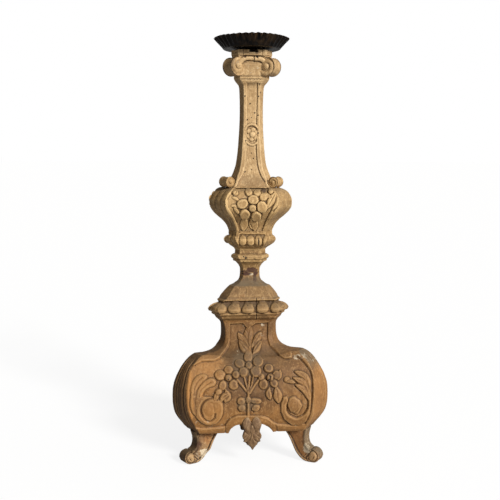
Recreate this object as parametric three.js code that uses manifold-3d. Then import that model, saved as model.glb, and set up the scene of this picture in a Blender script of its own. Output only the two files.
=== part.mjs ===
// Altar candlestick: a three-sided carved wooden candlestick, joined from separate blocks, with a crimped iron drip pan
// that lifts off an iron pricket. Millimetres, +Z up. The origin is on the floor, at the middle of the footprint's
// bounding rectangle. The front face looks along -Y.
//
// From the floor up: three scroll feet dowelled under a base of three mitred staves, a leaf pendant glued under each
// arch, a cap with a gadroon band, a collar, a gadrooned cup, a baluster knop with three shoulder scrolls, a tapered
// shaft, a capital with three volutes, an abacus, and the ironwork on top.
import * as THREE from "three";
import { mergeVertices } from "three/addons/utils/BufferGeometryUtils.js";
import Module from "manifold-3d";

const wasm = await Module();
wasm.setup();

// ---- driving dimensions ----
const GAP = 0.3; // glue line or clearance between neighbouring pieces

// Every wooden block has a six-sided section: three wide carved faces and three narrow canted corners.
// A row is [z, half the face's width, half the width over the corners].
const Z_FLOOR = -5; // heights here count from 5 mm above the floor; the origin is moved down to it at the end
const Z_BODY = 50; // underside of the base
const Z_CAP = 231; // base to cap
const Z_NECK = 309; // cap to collar
const Z_CUP = 347; // collar to cup
const Z_KNOP = 380; // cup to knop
const Z_SHAFT = 452.5; // knop to shaft
const Z_CAPITAL = 634; // shaft to capital
const Z_ABACUS = 668; // capital to abacus
const Z_TOP = 677; // top of the abacus

// the base also has its own radius at the middle of each face, the fourth number
const BODY = [
  [50, 86, 107.5, 74],
  [55, 88, 111.5, 76.5],
  [60, 91, 116, 79.5],
  [66, 94.5, 120.5, 82.5],
  [73, 98, 124.8, 85],
  [81, 101, 128.2, 87.5],
  [91, 103.8, 130, 89],
  [100, 105.5, 130.5, 89.5],
  [108, 106, 130.5, 89.7],
  [118, 106, 130.2, 89],
  [127, 105.5, 128.8, 87.6],
  [140, 103.3, 124.6, 84.4],
  [153, 100.3, 118.2, 79.6],
  [162.5, 95.8, 111.8, 74.5],
  [170, 89.5, 105, 68.5],
  [175, 84.5, 99, 64.5],
  [178.6, 79.5, 92, 60.5],
  [179.1, 70, 79, 60],
  [179.8, 61, 70, 59],
  [183.5, 51, 60.5, 54.5],
  [190, 43.6, 52.9, 48],
  [200, 40, 48.6, 38],
  [210, 39.2, 47.1, 33],
  [219, 39.8, 47, 31.8],
  [226, 41.5, 47.6, 31.8],
  [230.7, 43.2, 50.3, 32.5],
];
const CAP = [
  [231, 43.2, 50.5],
  [235, 44.3, 55.4],
  [238.7, 45.2, 57.5],
  [242, 47.5, 63.4],
  [245.5, 50.5, 67.8],
  [249.5, 52.6, 69],
  [254, 53, 66.7],
  [258.5, 49, 60.5],
  [262, 44, 54.1],
  [265.5, 42, 53.2],
  [267, 38, 50.6],
  [271.4, 35, 48.2],
  [278, 31.3, 43],
  [284, 27.5, 37.5],
  [287, 25.8, 34.5],
  [289, 21.5, 29],
  [291.5, 17.8, 25],
  [296, 14.3, 19.6],
  [301.5, 11.4, 17.5],
  [308.7, 11.2, 17],
];
const COLLAR = [
  [309, 11.4, 17],
  [315, 11.8, 17.2],
  [321, 13.5, 19.8],
  [325, 14.8, 23.4],
  [328.5, 16.2, 27.6],
  [332, 18.6, 31.7],
  [335.6, 20.8, 32.5],
  [339, 21.2, 30.6],
  [342, 19.2, 26.3],
  [346.7, 17.5, 25.9],
];
const CUP = [
  [347, 17.6, 26],
  [350, 18.6, 28],
  [352.5, 19.8, 31.5],
  [354.5, 20.8, 35.5],
  [359, 22.6, 41.5],
  [364.5, 25.6, 43.7],
  [369.5, 26.3, 41.4],
  [373, 24.6, 37.6],
  [379.7, 23.7, 37.1],
];
const KNOP = [
  [380, 24.3, 37.1],
  [388, 26.3, 40.5],
  [397, 30.1, 47.6],
  [405, 34.9, 56.9],
  [414, 40.4, 65.6],
  [422, 43.6, 69.3],
  [430.6, 44.3, 69.7],
  [439, 41.8, 66.8],
  [447, 36.8, 60.2],
  [452.2, 31.5, 52.2],
];
const SHAFT = [
  [452.5, 28.6, 40.5],
  [460, 26, 37],
  [469.3, 23.2, 33.5],
  [474.3, 21.5, 31.2],
  [481, 19.1, 28.5],
  [489, 17.6, 26],
  [497.3, 16.4, 24.6],
  [514, 15.1, 22.6],
  [531, 14.1, 21.4],
  [547, 13.3, 20.3],
  [580, 12.8, 19.6],
  [613, 13.2, 20.5],
  [619.5, 13.9, 21.6],
  [625.5, 17.1, 26.5],
  [631, 20, 29.7],
  [633.7, 20.1, 29.9],
];
const CAPITAL = [
  [634, 20.1, 29.9],
  [645, 20.5, 30],
  [655, 21.5, 31.5],
  [667.7, 22.5, 33.5],
];
const ABACUS = [
  [668, 21.8, 33.2],
  [669.2, 22.9, 34.3],
  [677, 22.9, 34],
];
// hollow inside the base, open below
const HOLLOW = [
  [40, 50, 62],
  [90, 56, 69],
  [130, 48, 60],
  [160, 27, 36],
  [178, 10, 14],
];

// the arch cut through the foot of each face: half outline, [x, z]
const ARCH = [
  [39.5, 30],
  [39, 50],
  [36, 55.5],
  [32.5, 61],
  [27, 66],
  [21, 68.7],
  [14, 69.7],
];

// feet: side outline in (distance from the stem's axis, z)
const FOOT_WIDTH = 24;
const ROLL_R = 11.3;
const ROLL_X = 122.3;
const FOOT = [
  [54, 49.7],
  [62, 47.3],
  [70.5, 43],
  [78, 34],
  [84, 23],
  [89.5, 12],
  [96, 3.3],
  [103, -2.5],
  [109, -5],
];
const FOOT_OUTER = [
  [119, 17.2],
  [115, 18.6],
  [112, 22.5],
  [110.5, 28],
  [110, 35],
  [111, 41.5],
  [112.3, 46.5],
  [113, 49.7],
];

// pendant leaf under each arch: half outline, [x, z]
const PENDANT = [
  [0, 27],
  [4.5, 30],
  [7.5, 34.8],
  [13.5, 37.5],
  [15.5, 44],
  [16, 51],
  [12.5, 58],
  [15, 66],
  [15.5, 74],
  [10, 82],
  [0, 84],
];
const PENDANT_BACK = 70;
const PENDANT_FRONT = 90.5;

// capital volutes and shoulder scrolls: rolls across the canted corners
const VOLUTE = { r: 16.2, at: 33, z: 650.5, length: 28 };
const SCROLL = { r: 8.5, at: 47, z: 460.8, length: 23 };

// ironwork
const PAN_Z = 678.8;
const PAN_BOTTOM_R = 48;
const PAN_RIM_R = 60.6;
const PAN_HEIGHT = 18;
const PAN_WALL = 1.1;
const PAN_HOLE_R = 7.5;
const FLUTES = 36;
const FLUTE_DEPTH = 1.1;
const COLLAR_R = 6.4;
const SPIKE_R = 3.6;
const SPIKE_TIP = PAN_Z + 23.5;
const PLATE_R = 17;
const PLATE_T = 1.2;
const NAIL_CIRCLE = 12;

// dowels: [radius, low z, high z]
const BASE_DOWEL = [10, 196, 256];
const NECK_DOWEL = [6.5, 282, 336];
const CUP_DOWEL = [8, 341, 398];
const KNOP_DOWEL = [8, 426, 482];
const CAPITAL_DOWEL = [6, 600, 641];
const FOOT_DOWEL = [5, 16, 72];
const FOOT_DOWEL_AT = 97;

// ---- helpers ----
const turn = (x, y, deg) => {
  const a = (deg * Math.PI) / 180;
  return [x * Math.cos(a) - y * Math.sin(a), x * Math.sin(a) + y * Math.cos(a)];
};

// A closed loft through six- or twelve-sided sections. grow pushes every section outwards.
function loft(rows, grow = 0) {
  const sections = rows.map(([z, ah0, wh0, mid0]) => {
    const edge0 = (2 * wh0 - ah0) / Math.sqrt(3);
    const ah = ah0 + grow / Math.sqrt(3);
    const edge = edge0 + grow;
    const points = [];
    for (let k = 0; k < 3; k++) {
      const face = [[-ah, -edge]];
      if (mid0 !== undefined) {
        const mid = mid0 + grow;
        face.push([-0.55 * ah, -(mid * 0.8 + edge * 0.2)]);
        face.push([0, -mid]);
        face.push([0.55 * ah, -(mid * 0.8 + edge * 0.2)]);
      }
      face.push([ah, -edge]);
      for (const [x, y] of face) points.push([...turn(x, y, 120 * k), z]);
    }
    return points;
  });
  const n = sections[0].length;
  const position = [];
  const index = [];
  sections.forEach((s) => s.forEach((p) => position.push(...p)));
  for (let j = 0; j < sections.length - 1; j++)
    for (let i = 0; i < n; i++) {
      const a = j * n + i;
      const b = j * n + ((i + 1) % n);
      index.push(a, b, b + n, a, b + n, a + n);
    }
  const low = position.length / 3;
  position.push(0, 0, sections[0][0][2]);
  position.push(0, 0, sections.at(-1)[0][2]);
  const top = (sections.length - 1) * n;
  for (let i = 0; i < n; i++) {
    index.push(low, (i + 1) % n, i);
    index.push(low + 1, top + i, top + ((i + 1) % n));
  }
  const g = new THREE.BufferGeometry();
  g.setAttribute("position", new THREE.Float32BufferAttribute(position, 3));
  g.setIndex(index);
  return g;
}

// An outline in (u, z), extruded by width and turned so that u points away from the axis at the given heading.
// Heading 0 looks along -Y, and headings run anticlockwise from above.
function slab(outline, width, heading) {
  const shape = new THREE.Shape(outline.map(([u, z]) => new THREE.Vector2(u, z)));
  const g = new THREE.ExtrudeGeometry(shape, {
    depth: width,
    bevelEnabled: false,
    curveSegments: 1,
  });
  // (u, z, t) -> (-t, -u, z)
  g.translate(0, 0, -width / 2);
  g.applyMatrix4(
    new THREE.Matrix4().set(0, 0, -1, 0, -1, 0, 0, 0, 0, 1, 0, 0, 0, 0, 0, 1),
  );
  g.rotateZ((heading * Math.PI) / 180);
  return g;
}

// An outline in (x, z) on the face at the given heading, from radius r0 out to r1.
function prism(outline, r0, r1, heading) {
  const shape = new THREE.Shape(outline.map(([x, z]) => new THREE.Vector2(x, z)));
  const g = new THREE.ExtrudeGeometry(shape, {
    depth: r1 - r0,
    bevelEnabled: false,
    curveSegments: 1,
  });
  g.rotateX(Math.PI / 2); // (x, z, depth) -> (x, -depth, z)
  g.translate(0, -r0, 0);
  g.rotateZ((heading * Math.PI) / 180);
  return g;
}

function rod(r, low, high, segments = 20, x = 0, y = 0, top = r) {
  const g = new THREE.CylinderGeometry(top, r, high - low, segments);
  g.rotateX(Math.PI / 2);
  g.translate(x, y, (low + high) / 2);
  return g;
}

function roll(spec, grow = 0) {
  const points = [];
  for (let i = 0; i < 24; i++) {
    const a = (i / 24) * 2 * Math.PI;
    points.push([
      spec.at + (spec.r + grow) * Math.cos(a),
      spec.z + (spec.r + grow) * Math.sin(a),
    ]);
  }
  return points;
}

function solid(geometry) {
  const g = geometry.clone();
  g.deleteAttribute("normal");
  g.deleteAttribute("uv");
  const m = mergeVertices(g, 1e-4);
  return new wasm.Manifold(
    new wasm.Mesh({
      numProp: 3,
      vertProperties: new Float32Array(m.attributes.position.array),
      triVerts: new Uint32Array(m.index.array),
    }),
  );
}

function geometry(manifold) {
  const m = manifold.getMesh();
  const v = new Float32Array(m.numVert * 3);
  for (let i = 0; i < m.numVert; i++)
    v.set(m.vertProperties.subarray(i * m.numProp, i * m.numProp + 3), i * 3);
  const g = new THREE.BufferGeometry();
  g.setAttribute("position", new THREE.BufferAttribute(v, 3));
  g.setIndex(new THREE.BufferAttribute(new Uint32Array(m.triVerts), 1));
  g.computeVertexNormals();
  return g;
}

// ---- materials ----
const wood = (hex, roughness = 0.85) =>
  new THREE.MeshStandardMaterial({ color: hex, roughness, metalness: 0 });
const BASE_WOOD = wood(0xa67c4e);
const STEM_WOOD = wood(0xc2a070);
const FOOT_WOOD = wood(0xa88a62);
const DOWEL_WOOD = wood(0xb08a58, 0.9);
const IRON = new THREE.MeshStandardMaterial({
  color: 0x1d1916,
  roughness: 0.55,
  metalness: 0.8,
});

const candlestick = new THREE.Group();
const base = new THREE.Group(); // everything below the neck joint
const stem = new THREE.Group(); // everything above it
candlestick.add(base, stem);

function add(name, g, material, group = stem) {
  const mesh = new THREE.Mesh(g, material);
  mesh.name = name;
  group.add(mesh);
  return mesh;
}

const hole = ([r, low, high], x = 0, y = 0) =>
  solid(rod(r + GAP, low - 0.5, high + 0.5, 20, x, y));

const CORNERS = [
  ["front_right", 60],
  ["rear", 180],
  ["front_left", 300],
];
const FACES = [
  ["front", 0],
  ["right", 120],
  ["left", 240],
];

// ---- base: three mitred staves, hollow, arched below ----
const archOutline = (less = 0) => {
  const half = ARCH.map(([x, z]) => [x - less, z - less]);
  return [...half, ...half.map(([x, z]) => [-x, z]).reverse()];
};
const bodyBlock = solid(loft(BODY));
const hollow = solid(loft(HOLLOW));
const footDowels = CORNERS.map(([, h]) => {
  const [x, y] = turn(0, -FOOT_DOWEL_AT, h);
  return [x, y];
});
let body = bodyBlock.subtract(hollow).subtract(hole(BASE_DOWEL));
for (const [, h] of FACES)
  body = body.subtract(solid(prism(archOutline(), 0, 140, h)));
for (const [x, y] of footDowels) body = body.subtract(hole(FOOT_DOWEL, x, y));
for (const [name, h] of FACES) {
  const wedge = new THREE.Shape([
    new THREE.Vector2(0, 0),
    new THREE.Vector2(-300 * Math.sin(Math.PI / 3), -150),
    new THREE.Vector2(300 * Math.sin(Math.PI / 3), -150),
  ]);
  const g = new THREE.ExtrudeGeometry(wedge, {
    depth: 260,
    bevelEnabled: false,
  });
  g.translate(0, -GAP / 2 / Math.sin(Math.PI / 3), 0);
  g.rotateZ((h * Math.PI) / 180);
  add("base_stave_" + name, geometry(body.intersect(solid(g))), BASE_WOOD, base);
}

// ---- pendants, cut to sit on the base ----
let baseWithGap = solid(loft(BODY, GAP));
for (const [, h] of FACES)
  baseWithGap = baseWithGap.subtract(
    solid(prism(archOutline(GAP), 0, 140, h)),
  );
for (const [name, h] of FACES) {
  const outline = [
    ...PENDANT,
    ...PENDANT.slice(1, -1)
      .map(([x, z]) => [-x, z])
      .reverse(),
  ];
  add(
    "pendant_" + name,
    geometry(
      solid(prism(outline, PENDANT_BACK, PENDANT_FRONT, h)).subtract(
        baseWithGap,
      ),
    ),
    BASE_WOOD,
    base,
  );
}

// ---- feet ----
const footOutline = [...FOOT];
for (let i = 0; i <= 10; i++) {
  const a = ((-90 + i * 18) * Math.PI) / 180;
  footOutline.push([
    ROLL_X + ROLL_R * Math.cos(a),
    Z_FLOOR + ROLL_R + ROLL_R * Math.sin(a),
  ]);
}
footOutline.push(...FOOT_OUTER);
CORNERS.forEach(([name, h], i) => {
  const [x, y] = footDowels[i];
  add(
    "foot_" + name,
    geometry(
      solid(slab(footOutline, FOOT_WIDTH, h)).subtract(hole(FOOT_DOWEL, x, y)),
    ),
    FOOT_WOOD,
    base,
  );
  add(
    "foot_dowel_" + name,
    rod(FOOT_DOWEL[0], FOOT_DOWEL[1], FOOT_DOWEL[2], 16, x, y),
    DOWEL_WOOD,
    base,
  );
});

// ---- the turned and carved blocks of the stem ----
add(
  "base_cap",
  geometry(solid(loft(CAP)).subtract(hole(BASE_DOWEL)).subtract(hole(NECK_DOWEL))),
  BASE_WOOD,
  base,
);
add(
  "stem_collar",
  geometry(
    solid(loft(COLLAR)).subtract(hole(NECK_DOWEL)).subtract(hole(CUP_DOWEL)),
  ),
  STEM_WOOD,
);
add(
  "gadroon_cup",
  geometry(solid(loft(CUP)).subtract(hole(CUP_DOWEL))),
  STEM_WOOD,
);
add(
  "knop",
  geometry(
    solid(loft(KNOP)).subtract(hole(CUP_DOWEL)).subtract(hole(KNOP_DOWEL)),
  ),
  STEM_WOOD,
);
add(
  "shaft",
  geometry(
    solid(loft(SHAFT)).subtract(hole(KNOP_DOWEL)).subtract(hole(CAPITAL_DOWEL)),
  ),
  STEM_WOOD,
);

// shoulder scrolls: a roll on each corner of the knop, its back fitted to the shaft
const knopAndShaft = solid(loft(SHAFT, GAP)).add(
  solid(loft(KNOP, 0).clone().translate(0, 0, GAP)),
);
for (const [name, h] of CORNERS) {
  const neck = [
    [30, SCROLL.z - 8],
    [46, SCROLL.z - 8],
    [46, SCROLL.z + 6],
    [30, SCROLL.z + 7],
  ];
  add(
    "shoulder_scroll_" + name,
    geometry(
      solid(slab(roll(SCROLL), SCROLL.length, h))
        .add(solid(slab(neck, SCROLL.length - 3, h)))
        .subtract(knopAndShaft),
    ),
    STEM_WOOD,
  );
}

// ---- capital, its volutes and the abacus ----
const tang = solid(rod(1.6, 643, 680, 12, 0, 0, SPIKE_R + GAP));
add(
  "capital",
  geometry(solid(loft(CAPITAL)).subtract(hole(CAPITAL_DOWEL)).subtract(tang)),
  STEM_WOOD,
);
const capitalWithGap = solid(
  loft([
    [632, 20.1, 29.9],
    [645, 20.5, 30],
    [655, 21.5, 31.5],
    [667.7, 22.5, 33.5],
    [690, 22.5, 33.5],
  ], GAP),
);
for (const [name, h] of CORNERS) {
  const ribbon = [
    [24, VOLUTE.z + 4],
    [40, VOLUTE.z + 4],
    [42, VOLUTE.z + 13],
    [36, VOLUTE.z + 17.1],
    [24, VOLUTE.z + 17.1],
  ];
  add(
    "capital_volute_" + name,
    geometry(
      solid(slab(roll(VOLUTE), VOLUTE.length, h))
        .add(solid(slab(ribbon, VOLUTE.length - 4, h)))
        .subtract(capitalWithGap),
    ),
    STEM_WOOD,
  );
}
const nails = [0, 120, 240].map((h) => turn(0, -NAIL_CIRCLE, h + 20));
let abacus = solid(loft(ABACUS)).subtract(tang);
let plate = solid(rod(PLATE_R, Z_TOP + GAP, Z_TOP + GAP + PLATE_T, 24)).subtract(
  solid(rod(SPIKE_R + 0.5, Z_TOP - 2, Z_TOP + 5, 12)),
);
for (const [x, y] of nails) {
  const shank = solid(rod(1.3, Z_TOP - 9.3, Z_TOP + 5, 8, x, y));
  abacus = abacus.subtract(shank);
  plate = plate
    .subtract(shank)
    .subtract(
      solid(rod(1.3, Z_TOP + GAP, Z_TOP + GAP + PLATE_T, 10, x, y, 2.5)),
    );
}
add("abacus", geometry(abacus), STEM_WOOD);
add("pricket_plate", geometry(plate), IRON);
nails.forEach(([x, y], i) => {
  const g = new THREE.LatheGeometry(
    [
      [0, Z_TOP - 9],
      [1, Z_TOP - 7],
      [1, Z_TOP + GAP],
      [2.1, Z_TOP + GAP + PLATE_T],
      [0, Z_TOP + GAP + PLATE_T],
    ].map(([r, z]) => new THREE.Vector2(r, z)),
    10,
  );
  g.rotateX(Math.PI / 2);
  g.translate(x, y, 0);
  add("plate_nail_" + (i + 1), g, IRON);
});

// pricket: a forged spike with a collar that centres the pan, and a tang driven into the capital
{
  const g = new THREE.LatheGeometry(
    [
      [0, 645],
      [1.3, 648],
      [SPIKE_R - 0.3, Z_TOP],
      [SPIKE_R, Z_TOP + PLATE_T + 2 * GAP],
      [COLLAR_R, Z_TOP + PLATE_T + 2 * GAP],
      [COLLAR_R, PAN_Z + 3],
      [SPIKE_R, PAN_Z + 3.8],
      [2.2, PAN_Z + 14],
      [0, SPIKE_TIP],
    ].map(([r, z]) => new THREE.Vector2(r, z)),
    16,
  );
  g.rotateX(Math.PI / 2);
  add("pricket", g, IRON);
}

// drip pan: sheet iron dish with a crimped, flared wall
{
  const g = new THREE.LatheGeometry(
    [
      [PAN_HOLE_R, 0],
      [PAN_BOTTOM_R - 1.5, 0],
      [PAN_BOTTOM_R, 0.8],
      [PAN_RIM_R, PAN_HEIGHT],
      [PAN_RIM_R - PAN_WALL, PAN_HEIGHT + 0.2],
      [PAN_BOTTOM_R - 1.6, PAN_WALL],
      [PAN_HOLE_R, PAN_WALL],
      [PAN_HOLE_R, 0],
    ].map(([r, z]) => new THREE.Vector2(r, z)),
    FLUTES * 4,
  );
  g.rotateX(Math.PI / 2);
  g.deleteAttribute("normal");
  g.deleteAttribute("uv");
  const m = mergeVertices(g, 1e-4);
  const p = m.getAttribute("position");
  for (let i = 0; i < p.count; i++) {
    const x = p.getX(i);
    const y = p.getY(i);
    const r = Math.hypot(x, y);
    const up = Math.min(1, Math.max(0, (p.getZ(i) - 0.9) / PAN_HEIGHT));
    if (r < PAN_BOTTOM_R - 2 || up <= 0) continue;
    const d = FLUTE_DEPTH * (0.45 + 0.55 * up) * Math.cos(FLUTES * Math.atan2(y, x));
    p.setX(i, (x * (r + d)) / r);
    p.setY(i, (y * (r + d)) / r);
  }
  m.translate(0, 0, PAN_Z);
  m.computeVertexNormals();
  add("drip_pan", m, IRON);
}

// ---- dowels ----
add("base_dowel", rod(...BASE_DOWEL, 20), DOWEL_WOOD, base);
for (const [name, d] of [
  ["neck_dowel", NECK_DOWEL],
  ["cup_dowel", CUP_DOWEL],
  ["knop_dowel", KNOP_DOWEL],
  ["capital_dowel", CAPITAL_DOWEL],
])
  add(name, rod(...d, 20), DOWEL_WOOD);

// the origin goes to the middle of the footprint, on the floor
candlestick.updateMatrixWorld(true);
const bounds = new THREE.Box3().setFromObject(candlestick, true);
candlestick.position.set(
  -(bounds.min.x + bounds.max.x) / 2,
  -(bounds.min.y + bounds.max.y) / 2,
  -bounds.min.z,
);

export default candlestick;
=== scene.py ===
"""Altar candlestick: the carved wooden surfaces and the crimped iron pan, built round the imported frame.

Shapes are made in millimetres about the stem's axis, with heights counted from 5 mm above the floor, and are then moved
to the frame in metres. The small crookedness of the old joints is added at that point.
"""

import math

import bpy
import numpy as np
from mathutils import Matrix, Vector


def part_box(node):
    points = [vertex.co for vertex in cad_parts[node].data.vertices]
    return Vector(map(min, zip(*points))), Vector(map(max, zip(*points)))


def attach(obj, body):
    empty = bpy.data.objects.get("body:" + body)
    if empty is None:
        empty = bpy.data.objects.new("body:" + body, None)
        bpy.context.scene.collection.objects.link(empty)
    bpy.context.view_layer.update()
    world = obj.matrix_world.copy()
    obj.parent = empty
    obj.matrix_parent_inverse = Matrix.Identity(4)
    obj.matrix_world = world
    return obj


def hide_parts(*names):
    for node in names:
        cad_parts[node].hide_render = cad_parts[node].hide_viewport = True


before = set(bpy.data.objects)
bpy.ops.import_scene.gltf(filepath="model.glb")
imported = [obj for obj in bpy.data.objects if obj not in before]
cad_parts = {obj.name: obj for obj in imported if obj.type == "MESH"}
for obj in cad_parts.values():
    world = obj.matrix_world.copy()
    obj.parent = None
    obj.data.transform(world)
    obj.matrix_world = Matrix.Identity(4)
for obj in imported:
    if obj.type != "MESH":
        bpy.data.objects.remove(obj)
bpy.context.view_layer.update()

R3 = math.sqrt(3.0)
_lo, _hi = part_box("pricket")
AXIS_Y = (_lo[1] + _hi[1]) * 500.0  # the stem's axis in the frame, mm
LIFT = 5.0  # local height 0 is 5 mm above the floor


# ------------------------------------------------------------------ maths
def smooth(a, b, t):
    t = np.clip((np.asarray(t, float) - a) / (b - a), 0, 1)
    return t * t * (3 - 2 * t)


def gauss(a, sigma, axis, wrap=False):
    """Gaussian blur along one axis, sigma in samples."""
    if sigma < 0.25:
        return a
    k = int(max(1, math.ceil(2.6 * sigma)))
    w = np.exp(-0.5 * (np.arange(-k, k + 1) / sigma) ** 2)
    w /= w.sum()
    if wrap:
        out = np.zeros_like(a)
        for i, x in zip(range(-k, k + 1), w):
            out += x * np.roll(a, i, axis)
        return out
    pad = [(0, 0)] * a.ndim
    pad[axis] = (k, k)
    b = np.pad(a, pad, mode="edge")
    out = np.zeros_like(a)
    n = a.shape[axis]
    for i, x in enumerate(w):
        sl = [slice(None)] * a.ndim
        sl[axis] = slice(i, i + n)
        out += x * b[tuple(sl)]
    return out


_rng = np.random.default_rng(11)
_TAB = _rng.uniform(-1, 1, 8192)


def _hash(i, j, k, seed):
    return _TAB[(i * 73856093 ^ j * 19349663 ^ k * 83492791 ^ (seed * 7919 + 13)) & 8191]


def vnoise(p, size, seed=0):
    """Smooth value noise in -1..1; size is a number or three, in the units of p."""
    q = np.asarray(p, float) / np.asarray(size, float)
    i = np.floor(q).astype(np.int64)
    f = q - i
    w = f * f * (3 - 2 * f)
    out = 0
    for a in (0, 1):
        wa = w[..., 0] if a else 1 - w[..., 0]
        for b in (0, 1):
            wb = w[..., 1] if b else 1 - w[..., 1]
            for c in (0, 1):
                wc = w[..., 2] if c else 1 - w[..., 2]
                out = out + wa * wb * wc * _hash(i[..., 0] + a, i[..., 1] + b, i[..., 2] + c, seed)
    return out


def fbm(p, size, octaves=3, seed=0):
    out, amp, total = 0, 1.0, 0.0
    for o in range(octaves):
        out = out + amp * vnoise(p, np.asarray(size, float) / 2**o, seed + 17 * o)
        total += amp
        amp *= 0.5
    return out / total


def pchip(x, y, xi):
    """Monotone cubic through rows y at x."""
    h = np.diff(x)
    d = np.diff(y, axis=0) / h[:, None]
    m = np.zeros_like(y)
    n = len(x)
    m[0], m[-1] = d[0], d[-1]
    for k in range(1, n - 1):
        a, b = d[k - 1], d[k]
        w1, w2 = 2 * h[k] + h[k - 1], h[k] + 2 * h[k - 1]
        ok = a * b > 0
        m[k] = np.where(ok, (w1 + w2) / (w1 / np.where(ok, a, 1) + w2 / np.where(ok, b, 1)), 0)
    i = np.clip(np.searchsorted(x, xi) - 1, 0, n - 2)
    t = ((xi - x[i]) / h[i])[:, None]
    hh = h[i][:, None]
    t2, t3 = t * t, t * t * t
    return (
        (2 * t3 - 3 * t2 + 1) * y[i]
        + (t3 - 2 * t2 + t) * hh * m[i]
        + (-2 * t3 + 3 * t2) * y[i + 1]
        + (t3 - t2) * hh * m[i + 1]
    )


def spline(points, n):
    """n points along a smooth curve through the given ones (Catmull-Rom), evenly spaced."""
    p = np.asarray(points, float)
    if len(p) > 2:
        q = np.vstack([2 * p[0] - p[1], p, 2 * p[-1] - p[-2]])
        out = []
        t = np.linspace(0, 1, 12, endpoint=False)[:, None]
        for k in range(1, len(q) - 2):
            a, b, c, d = q[k - 1], q[k], q[k + 1], q[k + 2]
            out.append(
                0.5
                * (
                    2 * b
                    + (c - a) * t
                    + (2 * a - 5 * b + 4 * c - d) * t**2
                    + (3 * b - a - 3 * c + d) * t**3
                )
            )
        p = np.vstack(out + [q[-2][None]])
    s = np.concatenate([[0], np.cumsum(np.linalg.norm(np.diff(p, axis=0), axis=1))])
    si = np.linspace(0, s[-1], n)
    return np.stack([np.interp(si, s, p[:, k]) for k in range(p.shape[1])], 1)


# The old joints sit a little out of line: sideways by height, and the base leans on its feet.
_LEAN_Z = [0, 110, 205, 249, 262, 290, 320, 350, 420, 640, 720]
_LEAN_X = [0, -1.8, -3.9, -5, -4.2, -1.9, -1.5, -1.2, -0.7, 0, 0]
_lz = np.arange(-40, 760, 1.0)
_lx = gauss(np.interp(_lz, _LEAN_Z, _LEAN_X), 5, 0)


def to_frame(p):
    x, y, z = p[:, 0], p[:, 1], p[:, 2]
    k = smooth(0, 50, z) * (1 - smooth(250, 310, z))
    return (
        np.stack([x + np.interp(z, _lz, _lx), y + AXIS_Y, z + x * 0.0201 * k + LIFT], 1) / 1000.0
    )


def o_dir(h):
    a = math.radians(h)
    return np.array([math.sin(a), -math.cos(a), 0.0])


def t_dir(h):
    a = math.radians(h)
    return np.array([math.cos(a), math.sin(a), 0.0])


def turn(p, deg):
    a = math.radians(deg)
    c, s = math.cos(a), math.sin(a)
    q = np.array(p, float)
    q[..., 0] = p[..., 0] * c - p[..., 1] * s
    q[..., 1] = p[..., 0] * s + p[..., 1] * c
    return q


# ------------------------------------------------------------------ meshes
ATTRS = ("cav", "cav2", "tint", "dark", "gesso", "stain", "dust")
MADE = []


def make(name, verts, faces, material, body, nodes, attrs=None, sharp=55, frame_space=False):
    """faces: a list of integer arrays, one per polygon size, or of index lists."""
    v = verts if frame_space else to_frame(verts)
    me = bpy.data.meshes.new(name)
    me.vertices.add(len(v))
    me.vertices.foreach_set("co", v.astype(np.float32).ravel())
    loops, starts, at = [], [], 0
    for f in faces:
        if isinstance(f, np.ndarray):
            loops.append(f.ravel())
            starts.append(at + np.arange(len(f)) * f.shape[1])
            at += f.size
        else:
            loops.append(np.array(f))
            starts.append(np.array([at]))
            at += len(f)
    loops = np.concatenate(loops).astype(np.int32)
    starts = np.concatenate(starts).astype(np.int32)
    me.loops.add(len(loops))
    me.polygons.add(len(starts))
    me.loops.foreach_set("vertex_index", loops)
    me.polygons.foreach_set("loop_start", starts)
    me.update(calc_edges=True)
    me.validate()
    for key in ATTRS:
        a = me.attributes.new(key, "FLOAT", "POINT")
        if attrs is not None and key in attrs:
            a.data.foreach_set("value", np.asarray(attrs[key], np.float32).ravel())
    me.shade_smooth()
    me.set_sharp_from_angle(angle=math.radians(sharp))
    ob = bpy.data.objects.new(name, me)
    bpy.context.scene.collection.objects.link(ob)
    me.materials.append(material)
    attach(ob, body)
    if nodes:
        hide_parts(*nodes)
    MADE.append(ob)
    return ob


def grid_faces(nr, nc, wrap=False, start=0, flip=False):
    """Quads of a grid of nr rows and nc columns of vertices."""
    i = np.arange(nr - 1)[:, None]
    j = np.arange(nc if wrap else nc - 1)[None, :]
    a = start + i * nc + j
    b = start + i * nc + (j + 1) % nc
    q = np.stack([a, b, b + nc, a + nc], -1).reshape(-1, 4)
    return q[:, ::-1] if flip else q


def normals(p, wrap=False):
    if wrap:
        du = np.roll(p, -1, 1) - np.roll(p, 1, 1)
    else:
        du = np.gradient(p, axis=1)
    dv = np.gradient(p, axis=0)
    n = np.cross(du, dv)
    return n / np.maximum(np.linalg.norm(n, axis=-1, keepdims=True), 1e-9)


def cavities(p, wrap, fine=1.3, broad=5.0):
    """How far each point lies under (+) or over (-) its blurred neighbourhood, mm."""
    n = normals(p, wrap)
    su = np.median(np.linalg.norm(np.diff(p, axis=1), axis=-1))
    sv = np.median(np.linalg.norm(np.diff(p, axis=0), axis=-1))
    out = []
    for s in (fine, broad):
        b = gauss(gauss(p, s / sv, 0), s / su, 1, wrap)
        out.append(np.einsum("ijk,ijk->ij", b - p, n))
    return out


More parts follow.
